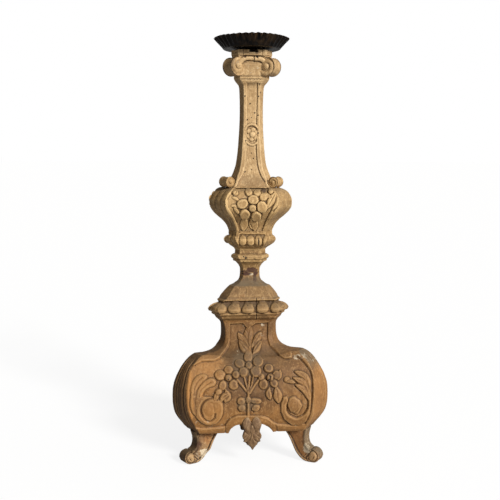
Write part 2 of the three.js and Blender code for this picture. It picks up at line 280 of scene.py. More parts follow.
class Profile:
    """A block's section by height: half face, half width over the corners, radius at the middle of the face."""

    def __init__(self, rows, sharp=()):
        r = np.array([[a[0], a[1], a[2], a[3] if len(a) > 3 else (2 * a[2] - a[1]) / R3] for a in rows], float)
        cuts = [0] + [i for i in range(1, len(r) - 1) if r[i, 0] in sharp] + [len(r) - 1]
        z, v = [], []
        for a, b in zip(cuts[:-1], cuts[1:]):
            zz = np.linspace(r[a, 0], r[b, 0], max(3, int((r[b, 0] - r[a, 0]) / 0.08) + 2))
            z.append(zz)
            v.append(pchip(r[a : b + 1, 0], r[a : b + 1, 1:], zz))
        self.z, self.v = np.concatenate(z), np.concatenate(v)
        self.sharp = [r[i, 0] for i in cuts]

    def __call__(self, z):
        return tuple(np.interp(z, self.z, self.v[:, k]) for k in range(3))

    def levels(self, step):
        edge = (2 * self.v[:, 1] - self.v[:, 0]) / R3
        s = np.concatenate([[0], np.cumsum(np.hypot(np.diff(self.z), np.diff(edge)))])
        n = int(math.ceil(s[-1] / step))
        zz = np.interp(np.linspace(0, s[-1], n + 1), s, self.z)
        for c in self.sharp:
            zz[np.argmin(abs(zz - c))] = c
        return np.unique(np.round(zz, 4))


def section(prof, z, cols, worn):
    """Base points for columns of (heading, is_face, u) at heights z (rows, columns)."""
    ah, wh, mid = prof(z)
    edge = (2 * wh - ah) / R3
    cd = (ah + wh) / R3
    sw = wh - ah
    head, isf, u = cols
    nr, nc = z.shape
    p = np.zeros((nr, nc, 3))
    along = np.zeros((nr, nc))
    for h in sorted(set(head.tolist())):
        m = head == h
        o, t = o_dir(h), t_dir(h)
        uu = u[m][None, :]
        if isf[m][0]:
            half = ah[:, m]
            r = edge[:, m] + (mid[:, m] - edge[:, m]) * (1 - np.abs(uu) ** 2.3)
        else:
            half = sw[:, m]
            r = cd[:, m] + 0 * uu
        al = uu * half
        q = r[..., None] * o + al[..., None] * t
        for side in (-1, 1):
            arris = (h + side * 30) % 360
            rad = worn(arris, z[:, m])
            rad = np.minimum(rad, np.minimum(sw[:, m], ah[:, m]) / 0.62)
            s = np.abs(side - uu) * half
            k = 0.1547 * rad * np.clip(1 - s / np.maximum(0.577 * rad, 1e-3), 0, 1) ** 2
            q = q - k[..., None] * o_dir(arris)
        p[:, m] = q
        along[:, m] = al
    p[..., 2] = z
    return p, along


def ring_cols(nf, ns):
    head, isf, u = [], [], []
    for k in range(6):
        n = nf if k % 2 == 0 else ns
        head += [60 * k] * n
        isf += [k % 2 == 0] * n
        u += list(np.linspace(-1, 1, n, endpoint=False))
    return np.array(head), np.array(isf), np.array(u)


def plain_arris(arris, z):
    return np.full(z.shape, 2.2)


def ring_piece(name, prof, step, nf, ns, material, nodes, relief=None, paint=None, worn=plain_arris,
               rough=0.18, body="candlestick", seed=0, levels=None):
    """A whole block, closed all round, with caps top and bottom."""
    zs = prof.levels(step) if levels is None else levels
    cols = ring_cols(nf, ns)
    z = np.repeat(zs[:, None], len(cols[0]), 1)
    p, along = section(prof, z, cols, worn)
    n = normals(p, True)
    h = np.zeros(z.shape)
    if relief is not None:
        h = h + relief(cols, along, z)
    hand = rough * (fbm(p, (9, 9, 16), 3, seed) + 0.5 * vnoise(p, (3.2, 3.2, 9), seed + 5))
    ends = np.minimum(smooth(0, 1.5, z - zs[0]), smooth(0, 1.5, zs[-1] - z))
    p = p + n * (h + hand * ends)[..., None]
    cav, cav2 = cavities(p, True)
    a = {"cav": cav, "cav2": cav2}
    if paint is not None:
        paint(a, p, h)
    nr, nc = z.shape
    verts = p.reshape(-1, 3)
    low, high = verts[:nc].mean(0), verts[-nc:].mean(0)
    verts = np.vstack([verts, low, high])
    j = np.arange(nc)
    k = (j + 1) % nc
    bottom = np.stack([np.full(nc, nr * nc), k, j], 1)
    top = np.stack([np.full(nc, nr * nc + 1), (nr - 1) * nc + j, (nr - 1) * nc + k], 1)
    attrs = {key: np.concatenate([np.asarray(val).ravel(), [0, 0]]) for key, val in a.items()}
    return make(name, verts, [grid_faces(nr, nc, True), bottom, top], material, body, nodes, attrs)


# ------------------------------------------------------------------ carved relief
class Relief:
    """A height map of one carved face, in (x along the face, z), mm above the plain surface."""

    def __init__(self, x0, x1, z0, z1, res=0.5, level=0.0):
        self.x = np.arange(x0, x1 + res / 2, res)
        self.z = np.arange(z0, z1 + res / 2, res)
        self.X, self.Z = np.meshgrid(self.x, self.z)
        self.H = np.full(self.X.shape, float(level))
        self.T = np.zeros(self.X.shape)
        q = np.stack([self.X, self.Z, 0 * self.X], -1)
        self.N = np.clip(0.5 + 0.75 * fbm(q, 11, 3, 77), 0, 1)  # how deep the carver's outline is cut
        self.W = 1 + 0.13 * fbm(q, 7.5, 2, 91)  # hand-drawn outlines
        self.res = res

    def win(self, xa, xb, za, zb):
        i0, i1 = np.searchsorted(self.z, [za, zb])
        j0, j1 = np.searchsorted(self.x, [xa, xb])
        return (slice(max(i0, 0), max(i1, 1)), slice(max(j0, 0), max(j1, 1)))

    def near(self, pts, margin):
        p = np.asarray(pts, float)
        return self.win(p[:, 0].min() - margin, p[:, 0].max() + margin, p[:, 1].min() - margin, p[:, 1].max() + margin)

    def dist(self, pts, w):
        """Distance to a line and the share of its length at the nearest point."""
        p = np.asarray(pts, float)
        x, z = self.X[w], self.Z[w]
        best = np.full(x.shape, 1e9)
        at = np.zeros(x.shape)
        seg = np.linalg.norm(np.diff(p, axis=0), axis=1)
        cum = np.concatenate([[0], np.cumsum(seg)])
        for k in range(len(p) - 1):
            ax, az = p[k]
            dx, dz = p[k + 1] - p[k]
            ll = dx * dx + dz * dz + 1e-12
            t = np.clip(((x - ax) * dx + (z - az) * dz) / ll, 0, 1)
            d = np.hypot(x - ax - t * dx, z - az - t * dz)
            m = d < best
            best = np.where(m, d, best)
            at = np.where(m, (cum[k] + t * seg[k]) / cum[-1], at)
        return best, at

    def inside(self, pts, w):
        x, z = self.X[w], self.Z[w]
        p = np.asarray(pts, float)
        c = np.zeros(x.shape, bool)
        for (ax, az), (bx, bz) in zip(p, np.roll(p, -1, 0)):
            if az == bz:
                continue
            hit = ((az > z) != (bz > z)) & (x < (bx - ax) * (z - az) / (bz - az) + ax)
            c ^= hit
        return c

    def signed(self, pts, w):
        p = np.asarray(pts, float)
        d, _ = self.dist(np.vstack([p, p[:1]]), w)
        return np.where(self.inside(p, w), -d, d)

    def area(self, pts, h, soft=0.8, curve=0, tint=0):
        """Raises or sinks a region."""
        p = spline(np.vstack([pts, pts[:1]]), curve) if curve else np.asarray(pts, float)
        w = self.near(p, soft + 2)
        sd = self.signed(p, w)
        k = 1 - smooth(-soft / 2, soft / 2, sd)
        self.H[w] += h * k
        self.T[w] += tint * k

    def mass(self, pts, level, edge=2.0, soft=0.7, curve=60, moat=0.7, tint=0):
        """A carved mass whose top is at level, rounded down towards its outline."""
        p = spline(np.vstack([pts, pts[:1]]), curve) if curve else np.asarray(pts, float)
        w = self.near(p, 4)
        sd = self.signed(p, w)
        self.H[w] -= moat * self.N[w] * np.exp(-(((sd - 0.7) / 0.8) ** 2)) * (sd > -0.2)
        round_off = 0.9 * np.clip(1 + sd / edge, 0, 1) ** 2
        k = 1 - smooth(-soft / 2, soft / 2, sd)
        self.H[w] = self.H[w] * (1 - k) + (level - round_off) * k
        self.T[w] = self.T[w] * (1 - k) + tint * k

    def dome(self, x, z, a, b=None, ang=0.0, floor=0.0, h=3.0, flat=0.4, moat=0.9, tint=0.0, dish=0.0, tilt=(0, 0)):
        b = a if b is None else b
        m = max(a, b) + 4
        w = self.win(x - m, x + m, z - m, z + m)
        dx, dz = self.X[w] - x, self.Z[w] - z
        c, s = math.cos(math.radians(ang)), math.sin(math.radians(ang))
        e, f = (dx * c + dz * s) / a, (-dx * s + dz * c) / b
        q = np.hypot(e, f) * self.W[w]
        r = min(a, b)
        self.H[w] -= moat * self.N[w] * np.exp(-(((q - 1) * r - 0.6) / 0.75) ** 2) * (q > 0.97)
        top = floor + h * (flat + (1 - flat) * np.sqrt(np.clip(1 - q * q, 0, 1)))
        top = top - dish * np.clip(1 - (q / 0.75) ** 2, 0, 1) + (tilt[0] * e + tilt[1] * f)
        k = 1 - smooth(-0.3, 0.3, (q - 1) * r)
        self.H[w] = self.H[w] * (1 - k) + top * k
        self.T[w] = self.T[w] * (1 - k) + tint * k

    def leaf(self, pts, half, floor=0.0, h=2.6, vein=0.7, moat=0.8, tint=0.0, peak=0.55, tip=0.7):
        p = spline(pts, 16)
        w = self.near(p, half + 4)
        d, t = self.dist(p, w)
        wide = half * np.clip(np.sin(np.pi * np.clip(t, 0, 1) ** (math.log(0.5) / math.log(peak)) * 0.94 + 0.12), 0, 1) ** tip
        wide = np.maximum(wide, 0.25) / self.W[w]
        q = d / wide
        self.H[w] -= moat * self.N[w] * np.exp(-((d - wide - 0.6) / 0.75) ** 2) * (q > 0.97)
        top = floor + h * (0.35 + 0.65 * np.sqrt(np.clip(1 - q * q, 0, 1))) - vein * np.exp(-((d / 0.7) ** 2))
        k = 1 - smooth(-0.3, 0.3, d - wide)
        self.H[w] = self.H[w] * (1 - k) + top * k
        self.T[w] = self.T[w] * (1 - k) + tint * k

    def rope(self, pts, half, floor=0.0, h=2.0, moat=0.6, tint=0.0, taper=(1, 1), curve=24):
        p = spline(pts, curve)
        w = self.near(p, half + 4)
        d, t = self.dist(p, w)
        wide = half * (taper[0] + (taper[1] - taper[0]) * t) / self.W[w]
        q = d / wide
        self.H[w] -= moat * self.N[w] * np.exp(-((d - wide - 0.5) / 0.7) ** 2) * (q > 0.97)
        top = floor + h * (0.3 + 0.7 * np.sqrt(np.clip(1 - q * q, 0, 1)))
        k = 1 - smooth(-0.25, 0.25, d - wide)
        self.H[w] = self.H[w] * (1 - k) + np.maximum(top, self.H[w]) * k
        self.T[w] = self.T[w] * (1 - k) + tint * k

    def cut(self, pts, width, depth, ends=(1, 1), curve=24, tint=0.0):
        p = spline(pts, curve) if len(pts) > 1 else np.array([pts[0], pts[0]], float) + [[0, 0], [0.01, 0]]
        w = self.near(p, 3 * width + 1)
        d, t = self.dist(p, w)
        k = np.exp(-((d / width) ** 2)) * (ends[0] + (ends[1] - ends[0]) * t)
        self.H[w] -= depth * k
        self.T[w] += tint * k

    def finish(self, blur=0.45, deep=1.0):
        s = blur / self.res
        self.H = self.H * deep
        self.H = gauss(gauss(self.H, s, 0), s, 1)
        self.T = gauss(gauss(self.T, s, 0), s, 1)
        return self

    def at(self, a, x, z):
        fx = np.clip((x - self.x[0]) / self.res, 0, len(self.x) - 1.001)
        fz = np.clip((z - self.z[0]) / self.res, 0, len(self.z) - 1.001)
        j, i = fx.astype(int), fz.astype(int)
        u, v = fx - j, fz - i
        return (a[i, j] * (1 - u) + a[i, j + 1] * u) * (1 - v) + (a[i + 1, j] * (1 - u) + a[i + 1, j + 1] * u) * v


def base_relief():
    r = Relief(-126, 126, 40, 240)
    F = -2.4
    field = [
        (-9.8, 224.6), (-1.6, 214.6), (11.8, 224.1), (32.3, 224.8), (31.5, 198.9), (35.4, 188.8), (45, 180.4),
        (56.4, 173), (68.2, 171.6), (69.7, 176.0), (76, 174.2), (84.2, 168.5), (92.5, 160), (98, 152), (100.2, 140),
        (100.3, 122.3), (99.5, 110), (98.0, 97), (95.4, 83.9), (91.5, 72), (88.5, 62.5), (65.8, 61), (42, 63.5),
        (37.3, 66.4), (27.6, 75), (15.7, 80.4), (-6.5, 81.9), (-25.2, 82), (-35.8, 76.1), (-42.8, 66.5), (-44, 62.5),
        (-64, 60.7), (-84, 59.5), (-96, 64), (-110, 75), (-116, 92), (-118, 109.9), (-116, 128.3),
        (-110, 147), (-98, 163), (-80.5, 171.4), (-59.3, 172.2), (-44.9, 180.2), (-36.2, 189.2),
        (-32.7, 198.4), (-31.4, 223.9),
    ]
    r.area(field, F, 1.0)
    # the incised line at the foot of the rim
    r.cut(field[3:9], 0.8, 0.7, curve=40)
    r.cut(field[9:20], 1.3, 1.5, curve=50)
    r.cut(list(reversed(field[40:])), 0.8, 0.6, curve=40)
    # apron: moulded band round the arch, fillets along the foot of the lobes
    arch = [(-44.5, 46), (-43.5, 58), (-42.8, 66.5), (-35.8, 76.1), (-25.2, 82), (-6.5, 81.9), (15.7, 80.4), (27.6, 75), (37.3, 65.5), (41, 58), (42, 46)]
    r.cut(arch, 0.8, 0.9, curve=60)
    inner = [(-39.5, 46), (-38, 57), (-31, 66.5), (-21, 71.5), (0, 72), (17, 71.5), (27, 66), (33.5, 58), (36, 46)]
    r.cut(inner, 3.4, -0.8, curve=60)
    r.cut([(-88, 52.5), (-66, 55.0), (-46, 56.0)], 2.6, -0.7)
    r.cut([(93, 55.5), (66, 54.5), (44, 56)], 2.8, -0.7)
    r.cut([(-90, 58.2), (-64, 60.6), (-45, 62)], 0.6, 0.7)
    r.cut([(90, 60.5), (66, 60.4), (42, 62.5)], 0.6, 0.7)

    # left scroll
    r.mass([(-99, 122), (-98.3, 104), (-91.5, 82), (-76.5, 67.2), (-59.2, 68), (-49, 81), (-46.8, 98), (-50.5, 108.5),
            (-60, 113.5), (-70, 115.5), (-80, 117.5), (-90, 122)], F + 2.5, 3.0, tint=0.15)
    r.cut([(-56, 110), (-62, 113.2), (-68.5, 113), (-77.3, 107.9), (-83, 98), (-81.9, 85.5), (-75.5, 76), (-68, 73.6), (-61.8, 79), (-60.2, 86.5)], 1.5, 3.3, (0.45, 0.7), 60)
    r.cut([(-66, 112.5), (-77.3, 107), (-82.5, 96), (-80.5, 84)], 2.2, 1.4, (0.8, 1.0), 40)
    r.dome(-70, 95.5, 9.8, 11.5, floor=F, h=3.1, flat=0.5, moat=0.3, tint=0.25)
    r.mass([(-98, 114), (-99, 128), (-95, 142), (-87, 150.5), (-77.5, 152.5), (-71.5, 148.5), (-75, 142), (-82, 136.5), (-88, 128), (-90, 117)], F + 1.9, 3.6, tint=0.1, moat=0.6)
    r.mass([(-91, 113), (-88.5, 126), (-81, 137), (-71, 144.5), (-62.5, 145.5), (-57.5, 140), (-60.5, 133.5), (-69, 131), (-77, 125.5), (-81.5, 116)], F + 2.3, 3.6, tint=0.12, moat=0.8)
    r.cut([(-94, 116), (-93, 129), (-88, 140), (-80, 147)], 0.9, 0.9, (0.6, 1.0))
    r.cut([(-86.5, 115), (-83, 126), (-75, 134), (-66, 139)], 1.0, 1.0, (0.6, 1.0))
    r.cut([(-79, 119), (-75, 124), (-69, 127.5)], 0.9, 0.8)
    r.area([(-86, 117), (-81, 123.5), (-74, 125), (-71, 121), (-77, 119.5), (-80, 114.5)], -0.8, 1.2, tint=0.9)
    r.mass([(-99, 120), (-100.5, 104), (-97, 90), (-91, 84), (-90.5, 96), (-92, 110), (-90.5, 119)], F + 2.2, 3.0, tint=0.1, moat=0.2)

    # right scroll: a fat band that sweeps up into the frond
    band = [(52, 112), (47.3, 100), (47.6, 86.6), (53, 72.5), (65, 61.5), (78.9, 59.5), (89.5, 67.7), (95, 82), (97.4, 100),
            (97, 118), (91, 132), (80, 137), (73.5, 131), (78.2, 124.6), (87.6, 115.8), (92.6, 103.8), (91.6, 91.6), (84.6, 80),
            (73.5, 74.3), (62.6, 79.8), (57, 88), (56.8, 98), (60, 106), (58, 113.5)]
    r.mass(band, F + 2.4, 2.6, curve=0, tint=0.05)
    r.cut([(58.2, 98.5), (57.6, 88.5), (62.6, 80.4), (73.5, 74.9), (84.4, 80.6), (91.2, 92), (92.2, 103.8), (87.2, 115.2), (78, 123.6), (72.5, 129.3)], 1.1, 1.7, (0.8, 0.9), 60)
    r.dome(70, 97.5, 11.6, 14.2, 8, F, 2.9, 0.45, 0.8, -0.1)
    r.cut([(64, 87), (70, 85), (77, 92)], 1.0, 0.6)
    for pts, w in [
        ([(95.5, 118), (92, 137), (84, 147), (71.5, 152.5)], 5.6),
        ([(94.8, 112), (86, 132), (79, 138), (68.5, 143)], 5.4),
        ([(93.4, 106), (86, 122), (80.5, 127), (71.5, 132)], 4.8),
    ]:
        r.leaf(pts, w, F, 2.8, 0.5, 0.9, 0.0, 0.6)
    r.dome(58.5, 140, 5.6, 5.2, floor=F, h=2.4, flat=0.4)
    r.leaf([(58, 136), (64, 137), (72, 135)], 3.6, F, 2.0, 0.2, 0.5)

    # bouquet: stems, ribbon, leaves, then the flowers
    for pts, w in [
        ([(-23, 142), (-15.1, 132.4), (-5.5, 120)], 2.1), ([(-12.2, 149.8), (-9.1, 136.7), (-5.3, 122)], 1.7),
        ([(-2.5, 147), (-4.2, 132.1), (-5.4, 118.6)], 1.9), ([(3.5, 147), (0.5, 134), (-4, 120)], 1.6),
        ([(13, 142), (4.7, 131.8), (-3, 120)], 2.1), ([(-5.4, 122), (-5.7, 104.5), (-6, 80)], 2.2),
    ]:
        r.rope(pts, w, F, 2.2, 0.7)
    for x, z, a, b, ang in [(-16.9, 107.2, 6.4, 6.6, -20), (-16.2, 95, 6.2, 5.8, 0), (6.8, 106.6, 9.6, 5.0, -8), (6.3, 94.8, 6.6, 6.2, 10), (-5.7, 108.8, 4.6, 6.0, 0)]:
        r.dome(x, z, a, b, ang, F, 2.9, 0.55, 0.9)
    r.cut([(-9.8, 103), (-10.2, 88)], 0.8, 1.0)
    r.cut([(2.0, 101), (3, 86)], 0.7, 0.9)
    for pts, w in [
        ([(-1.2, 184), (-2.4, 199.7), (2.6, 220)], 8.6), ([(-2.6, 190.6), (-10.5, 198.2), (-18.6, 209)], 5.6),
        ([(-2.4, 182.6), (-10.2, 188.6), (-17.5, 197.5)], 5.4), ([(3.9, 189.4), (12.2, 198.4), (20.6, 209.5)], 5.8),
        ([(4.9, 181.8), (12.4, 188.1), (20.4, 196)], 5.0), ([(-42.1, 126.2), (-39.6, 115.9), (-44, 105.7)], 6.2),
        ([(-55.6, 123.5), (-57.4, 117.8), (-60.2, 109.5)], 4.6), ([(-50.9, 106.4), (-45.8, 115.4), (-35.3, 120.4)], 5.0),
        ([(29.1, 127.8), (28.0, 118.7), (30.2, 108.1)], 5.2), ([(40.3, 129.6), (42.4, 117.1), (43.8, 102.1)], 7.2),
        ([(47.8, 155.6), (46.9, 148.3), (43.7, 139.8)], 4.2),
    ]:
        r.leaf(pts, w, F, 2.9, 0.7, 0.9, 0.0)
    petals = [
        (-36.5, 158, 7.6, 0.2), (-50.7, 149.9, 8.3, 0.15), (-46.5, 133.7, 8.0, -0.1), (-29.5, 133.9, 8.0, 0.15),
        (-25, 150.2, 6.2, -0.2), (-53.8, 123.4, 5.8, -0.2), (29.3, 158.9, 7.6, -0.25), (20, 133.6, 8.2, -0.1),
        (36.9, 135, 7.4, -0.2), (41.4, 147.6, 6.6, -0.2), (16.9, 145.8, 5.8, -0.1), (-12, 154.2, 8.3, -0.1),
        (7.9, 154, 9.4, -0.1), (-18, 167.7, 8.8, -0.05), (12.3, 170.6, 8.9, -0.1), (-3.3, 177.8, 8.2, 0.45),
    ]
    for i, (x, z, a, t) in enumerate(petals):
        lean = (0.55 * math.sin(i * 4.1 + 1), 0.5 * math.cos(i * 2.7))
        r.dome(x, z, a, a * (0.93 + 0.11 * math.sin(i * 2.3)), 40 * i, F, 3.4 + 0.6 * math.sin(i * 5.3), 0.46, 0.55, t, dish=0.12, tilt=lean)
    for x, z, a in [(-37.3, 145.1, 5.6), (30.9, 144.3, 5.8), (-3.4, 164, 6.3)]:
        r.dome(x, z, a, floor=F, h=4.0, flat=0.45, moat=1.2, tint=-0.35)
    r.cut([(30.4, 148), (31.2, 140)], 0.8, 1.5)
    # grooves down the tongue and the crack in the neck
    r.cut([(-6, 216), (-2, 208), (-3, 196)], 0.8, 0.6)
    return r.finish(0.40, 1.28)


def knop_relief():
    r = Relief(-60, 60, 374, 458, 0.35)
    F = -1.8
    out = [(-34, 460), (-31.6, 449), (-40.3, 435), (-38.8, 420.8), (-30.3, 406), (-23.8, 392.7), (-20.6, 380.3), (18.6, 380.6),
           (24.6, 398), (31.0, 414), (38.5, 428), (40.4, 441), (33, 450), (30, 460)]
    r.area(out, F, 1.2)
    r.cut(out[7:12], 0.7, 1.3, curve=40)
    r.cut(list(reversed(out[1:6])), 0.8, 0.7, curve=40)
    r.cut([(-20, 379.8), (0, 379.4), (19, 380)], 0.7, 1.0)
    # leaves at the upper right, drawn out towards the corner
    r.leaf([(24, 419), (31.1, 432), (39, 445.5)], 6.4, F, 3.1, 0.9, 1.0)
    r.leaf([(33, 417), (42.5, 429), (44.5, 445)], 4.6, F + 0.8, 2.6, 0.5, 1.1)
    r.cut([(39, 449), (44.6, 438), (42.4, 425), (35, 414)], 0.9, 1.6, tint=-0.4)
    r.leaf([(16, 446), (22, 441.5), (30, 437.5)], 4.4, F, 2.6, 0.4, 0.8)
    # left: worn leaf ends
    for pts, w in [([(-20, 408), (-25, 414), (-30, 421)], 3.0), ([(-21, 431), (-27, 436), (-33, 438)], 2.8), ([(-22, 420), (-29, 423), (-35, 423)], 2.6)]:
        r.leaf(pts, w, F, 1.6, 0.2, 0.6)
    # buds over the flower
    r.dome(-5.5, 446, 6.0, 6.8, 10, F, 3.0, 0.5, 0.9)
    r.dome(8.2, 444.8, 6.2, 6.0, 0, F, 2.8, 0.5, 0.9)
    r.dome(18.9, 438.3, 7.4, 6.4, 30, F, 2.8, 0.5, 0.9)
    r.dome(19.3, 448.3, 4.6, 3.6, 0, F, 1.2, 0.6, 0.9, tint=-0.9)
    r.dome(-27.6, 445.4, 5.0, 4.8, 0, F, 3.4, 0.4, 1.2)
    r.cut([(-31, 447), (-28, 449), (-25.5, 445.5), (-28, 443.2)], 0.7, 1.2)
    r.dome(30.8, 448, 4.6, 4.6, 0, F, 3.2, 0.4, 1.0)
    # tongues below
    r.leaf([(-10.2, 404), (-12, 392), (-12.6, 379.6)], 6.6, F, 1.9, 0.2, 0.8)
    r.leaf([(2.2, 404), (4, 392), (6.4, 380)], 7.6, F, 2.1, 0.2, 0.9)
    r.cut([(-2.8, 402.7), (-1.9, 392.7), (3.5, 381)], 0.8, 1.0)
    # flower
    for x, z, a, b, ang in [(-15.4, 426.6, 9.2, 8.0, 20), (1.6, 433.4, 8.8, 7.8, 0), (16.2, 421.6, 8.8, 9.4, 0), (-11.6, 408.8, 9.0, 8.2, -30), (7.2, 405.2, 8.6, 8.4, 20)]:
        r.dome(x, z, a, b, ang, F, 4.0, 0.6, 1.1, dish=0.7)
    r.dome(0.6, 419.4, 6.3, floor=F, h=5.0, flat=0.4, moat=1.3, tint=-0.1)
    r.cut([(-2, 419), (1.5, 421), (3.5, 418)], 0.6, 0.7)
    return r.finish(0.30, 1.25)


def cup_relief():
    r = Relief(-34, 34, 345, 382, 0.3)
    r.area([(-20.3, 353.5), (29.5, 353.5), (31, 366), (28, 374.5), (-19.5, 374.5), (-21, 364)], -1.7, 1.2)
    for x, a, b in [(-13.8, 6.3, 9.9), (-0.7, 6.3, 9.8), (12.3, 6.1, 9.8), (24.4, 5.2, 9.2)]:
        r.dome(x, 363.8, a, b, 0, -1.7, 3.3, 0.2, 0.7)
    r.cut([(11.6, 368), (12.4, 362), (12, 357)], 1.0, 1.2, tint=-0.5)
    return r.finish(0.28)


def cap_relief():
    r = Relief(-62, 62, 229, 310, 0.4)
    r.area([(-62, 241.6), (62, 241.6), (62, 263.4), (-62, 263.4)], -4.8, 1.4)
    for i, (x, a) in enumerate([(-46.6, 9.6), (-24.2, 10.6), (-1.2, 10.8), (22.2, 10.4), (45.8, 10.2)]):
        r.dome(x, 252.3 + 0.5 * math.sin(i * 2.1), a * 1.03, 10.8, 0, -4.8, 5.4, 0.14, 0.5, tint=0.1 * math.cos(2.2 * i))
    r.cut([(-62, 240.6), (0, 240.3), (62, 240.6)], 0.8, 0.8)
    r.cut([(-6.7, 284), (-6.0, 270.0)], 0.5, 1.1, tint=-0.5)
    r.cut([(11.9, 268), (12.3, 250), (12.8, 232)], 0.55, 1.5, tint=-0.6)
    r.cut([(-40, 270.2), (0, 269.6), (40, 270.2)], 0.6, 0.8)
    return r.finish(0.35)


def shaft_relief():
    r = Relief(-36, 36, 450, 636, 0.3)
    panel = [(-7.5, 622.7), (9.2, 622.8), (9.0, 596), (8.4, 555), (8.1, 525), (8.6, 506), (11.2, 485), (16.3, 471), (22.5, 461.8), (27, 449),
             (-27, 449), (-22, 461.8), (-16, 471), (-11, 485), (-8.6, 506), (-7.8, 525), (-7.8, 559)]
    r.area(panel, -1.0, 1.0)
    r.cut(panel[1:9], 0.85, 1.4, curve=50, tint=-0.3)
    r.cut([panel[-1], panel[0]], 0.7, 0.35)
    r.cut([(-9, 623.4), (10, 623.6)], 0.7, 0.9, tint=-0.2)
    # rosette: six worn petals about a button, with a fold above and below
    r.rope([(-10.5, 548), (-6, 554.5), (0.5, 556.3), (6, 555), (9.8, 551)], 1.8, -1.0, 1.7, 0.5)
    r.rope([(-8.5, 527.5), (-3, 523.4), (3, 522.6), (9, 526)], 1.7, -1.0, 1.6, 0.5)
    for k in range(6):
        a = math.radians(60 * k + 20)
        r.dome(1.3 + 6.6 * math.cos(a), 539.8 + 7.2 * math.sin(a), 4.3, 4.1, 60 * k, -1.0, 1.9, 0.35, 0.35, tilt=(0.3 * math.sin(5 * k), 0.3))
    r.dome(1.3, 539.8, 5.2, 4.8, 20, -1.0, 4.2, 0.3, 0.7, 0.35, tilt=(-0.4, 0.3))
    r.cut([(-6.5, 551.5), (0.5, 553), (7.5, 550)], 0.7, 1.2, tint=-0.3)
    r.cut([(9.2, 548), (9.6, 540), (8.4, 531)], 0.7, 1.3, tint=-0.3)
    # bead and quirk under the capital
    r.cut([(-36, 629.2), (0, 629.6), (36, 629.2)], 0.8, 1.1, tint=-0.3)
    r.cut([(-36, 625.8), (36, 625.8)], 0.5, 0.4)
    for x, z in HOLES:
        r.cut([(x, z), (x + 0.3, z + 0.5)], 0.8, 1.6, tint=-1.2)
    return r.finish(0.26)


HOLES = [(14.0, 608.5), (11.1, 601.9), (-7.6, 563.4), (-9.7, 529.1), (-11.6, 602.2), (11.0, 541.9), (12.2, 621.5), (-3, 590), (5, 575), (-11, 478), (3, 500), (10.5, 571)]


def capital_relief():
    r = Relief(-40, 40, 632, 670, 0.3)
    r.area([(-20, 668), (22, 668), (20, 655), (0, 653.5), (-19, 655)], -0.6, 1.0)
    # two ribbons that part at the middle and run down into the volutes
    r.rope([(1.5, 662.3), (-6, 663), (-14, 661.5), (-20, 656), (-23.5, 648)], 4.0, -0.6, 3.3, 1.2, taper=(0.75, 1.1))
    r.rope([(3.8, 662.0), (10, 662.5), (17.5, 660), (23, 653.5), (24.5, 645)], 4.2, -0.6, 3.4, 1.2, taper=(0.75, 1.1))
    r.cut([(-20, 667), (-8, 666.4), (2, 666.8)], 0.6, 0.8)
    r.cut([(4, 666.6), (14, 666.2), (24, 664)], 0.7, 1.2, tint=-0.5)
    r.cut([(2.7, 669), (2.9, 657.5)], 0.7, 2.0, tint=-0.9)
    r.cut([(7.2, 666.3), (8.6, 664.2)], 1.3, 2.0, tint=-1.3)
    r.cut([(-12.5, 666.5), (-11.5, 665)], 1.2, 1.2, tint=-0.6)
    r.cut([(-40, 635.2), (40, 635.2)], 0.7, 0.6, tint=-0.2)
    return r.finish(0.26)


RELIEFS = {}


def relief_of(r, strip=None, other=1.0):
    """A relief function for a ring: the same carving on the three faces, and ribs on the corners."""

    def f(cols, along, z):
        head, isf, u = cols
        h = np.zeros(z.shape)
        for hd in sorted(set(head.tolist())):
            m = head == hd
            if isf[m][0]:
                h[:, m] = r.at(r.H, along[:, m], z[:, m])
            elif strip is not None:
                h[:, m] = strip(hd, along[:, m], u[m][None, :] + 0 * z[:, m], z[:, m])
        return h

    return f


def tints(a, r, p, h_cols, along, z):
    pass


def spot(p, x, z, rx, rz=None, front=True, rag=0.35, seed=3, size=4.0):
    """A soft-edged patch on the front, 0..1."""
    rz = rx if rz is None else rz
    q = np.hypot((p[..., 0] - x) / rx, (p[..., 2] - z) / rz)
    q = q + rag * fbm(p, size, 2, seed)
    k = 1 - smooth(0.75, 1.15, q)
    if front:
        k = k * (p[..., 1] < 0)
    return k


def canted_corner_mask(p, prof, heading=300, soft=1.0):
    """1 on the canted corner at a heading, 0 elsewhere. Used to paint shade onto canted corners, and to place gesso
    specks.
    """
    ah = np.interp(p[..., 2], prof.z, prof.v[:, 0])
    before = np.einsum("ijk,k->ij", p, t_dir(heading - 60))
    after = -np.einsum("ijk,k->ij", p, t_dir(heading + 60))
    return smooth(-soft, soft, before - ah) * smooth(-soft, soft, after - ah)


def flush(a, p, z):
    """A tight, clean joint: neither dirt nor painted shade is put in it."""
    k = smooth(0.6, 2.4, np.abs(p[..., 2] - z))
    a["cav"], a["cav2"] = a["cav"] * k, a["cav2"] * k


def front_tint(r, p, scale=1.0):
    """The relief's own light and dark areas on the front face."""
    return np.where(p[..., 1] < 0, r.at(r.T, p[..., 0], p[..., 2]), 0) * scale


# ------------------------------------------------------------------ materials
def srgb(*c):
    out = []
    for x in c:
        x = x / 255.0
        out.append(x / 12.92 if x <= 0.04045 else ((x + 0.055) / 1.055) ** 2.4)
    return (*out, 1.0)


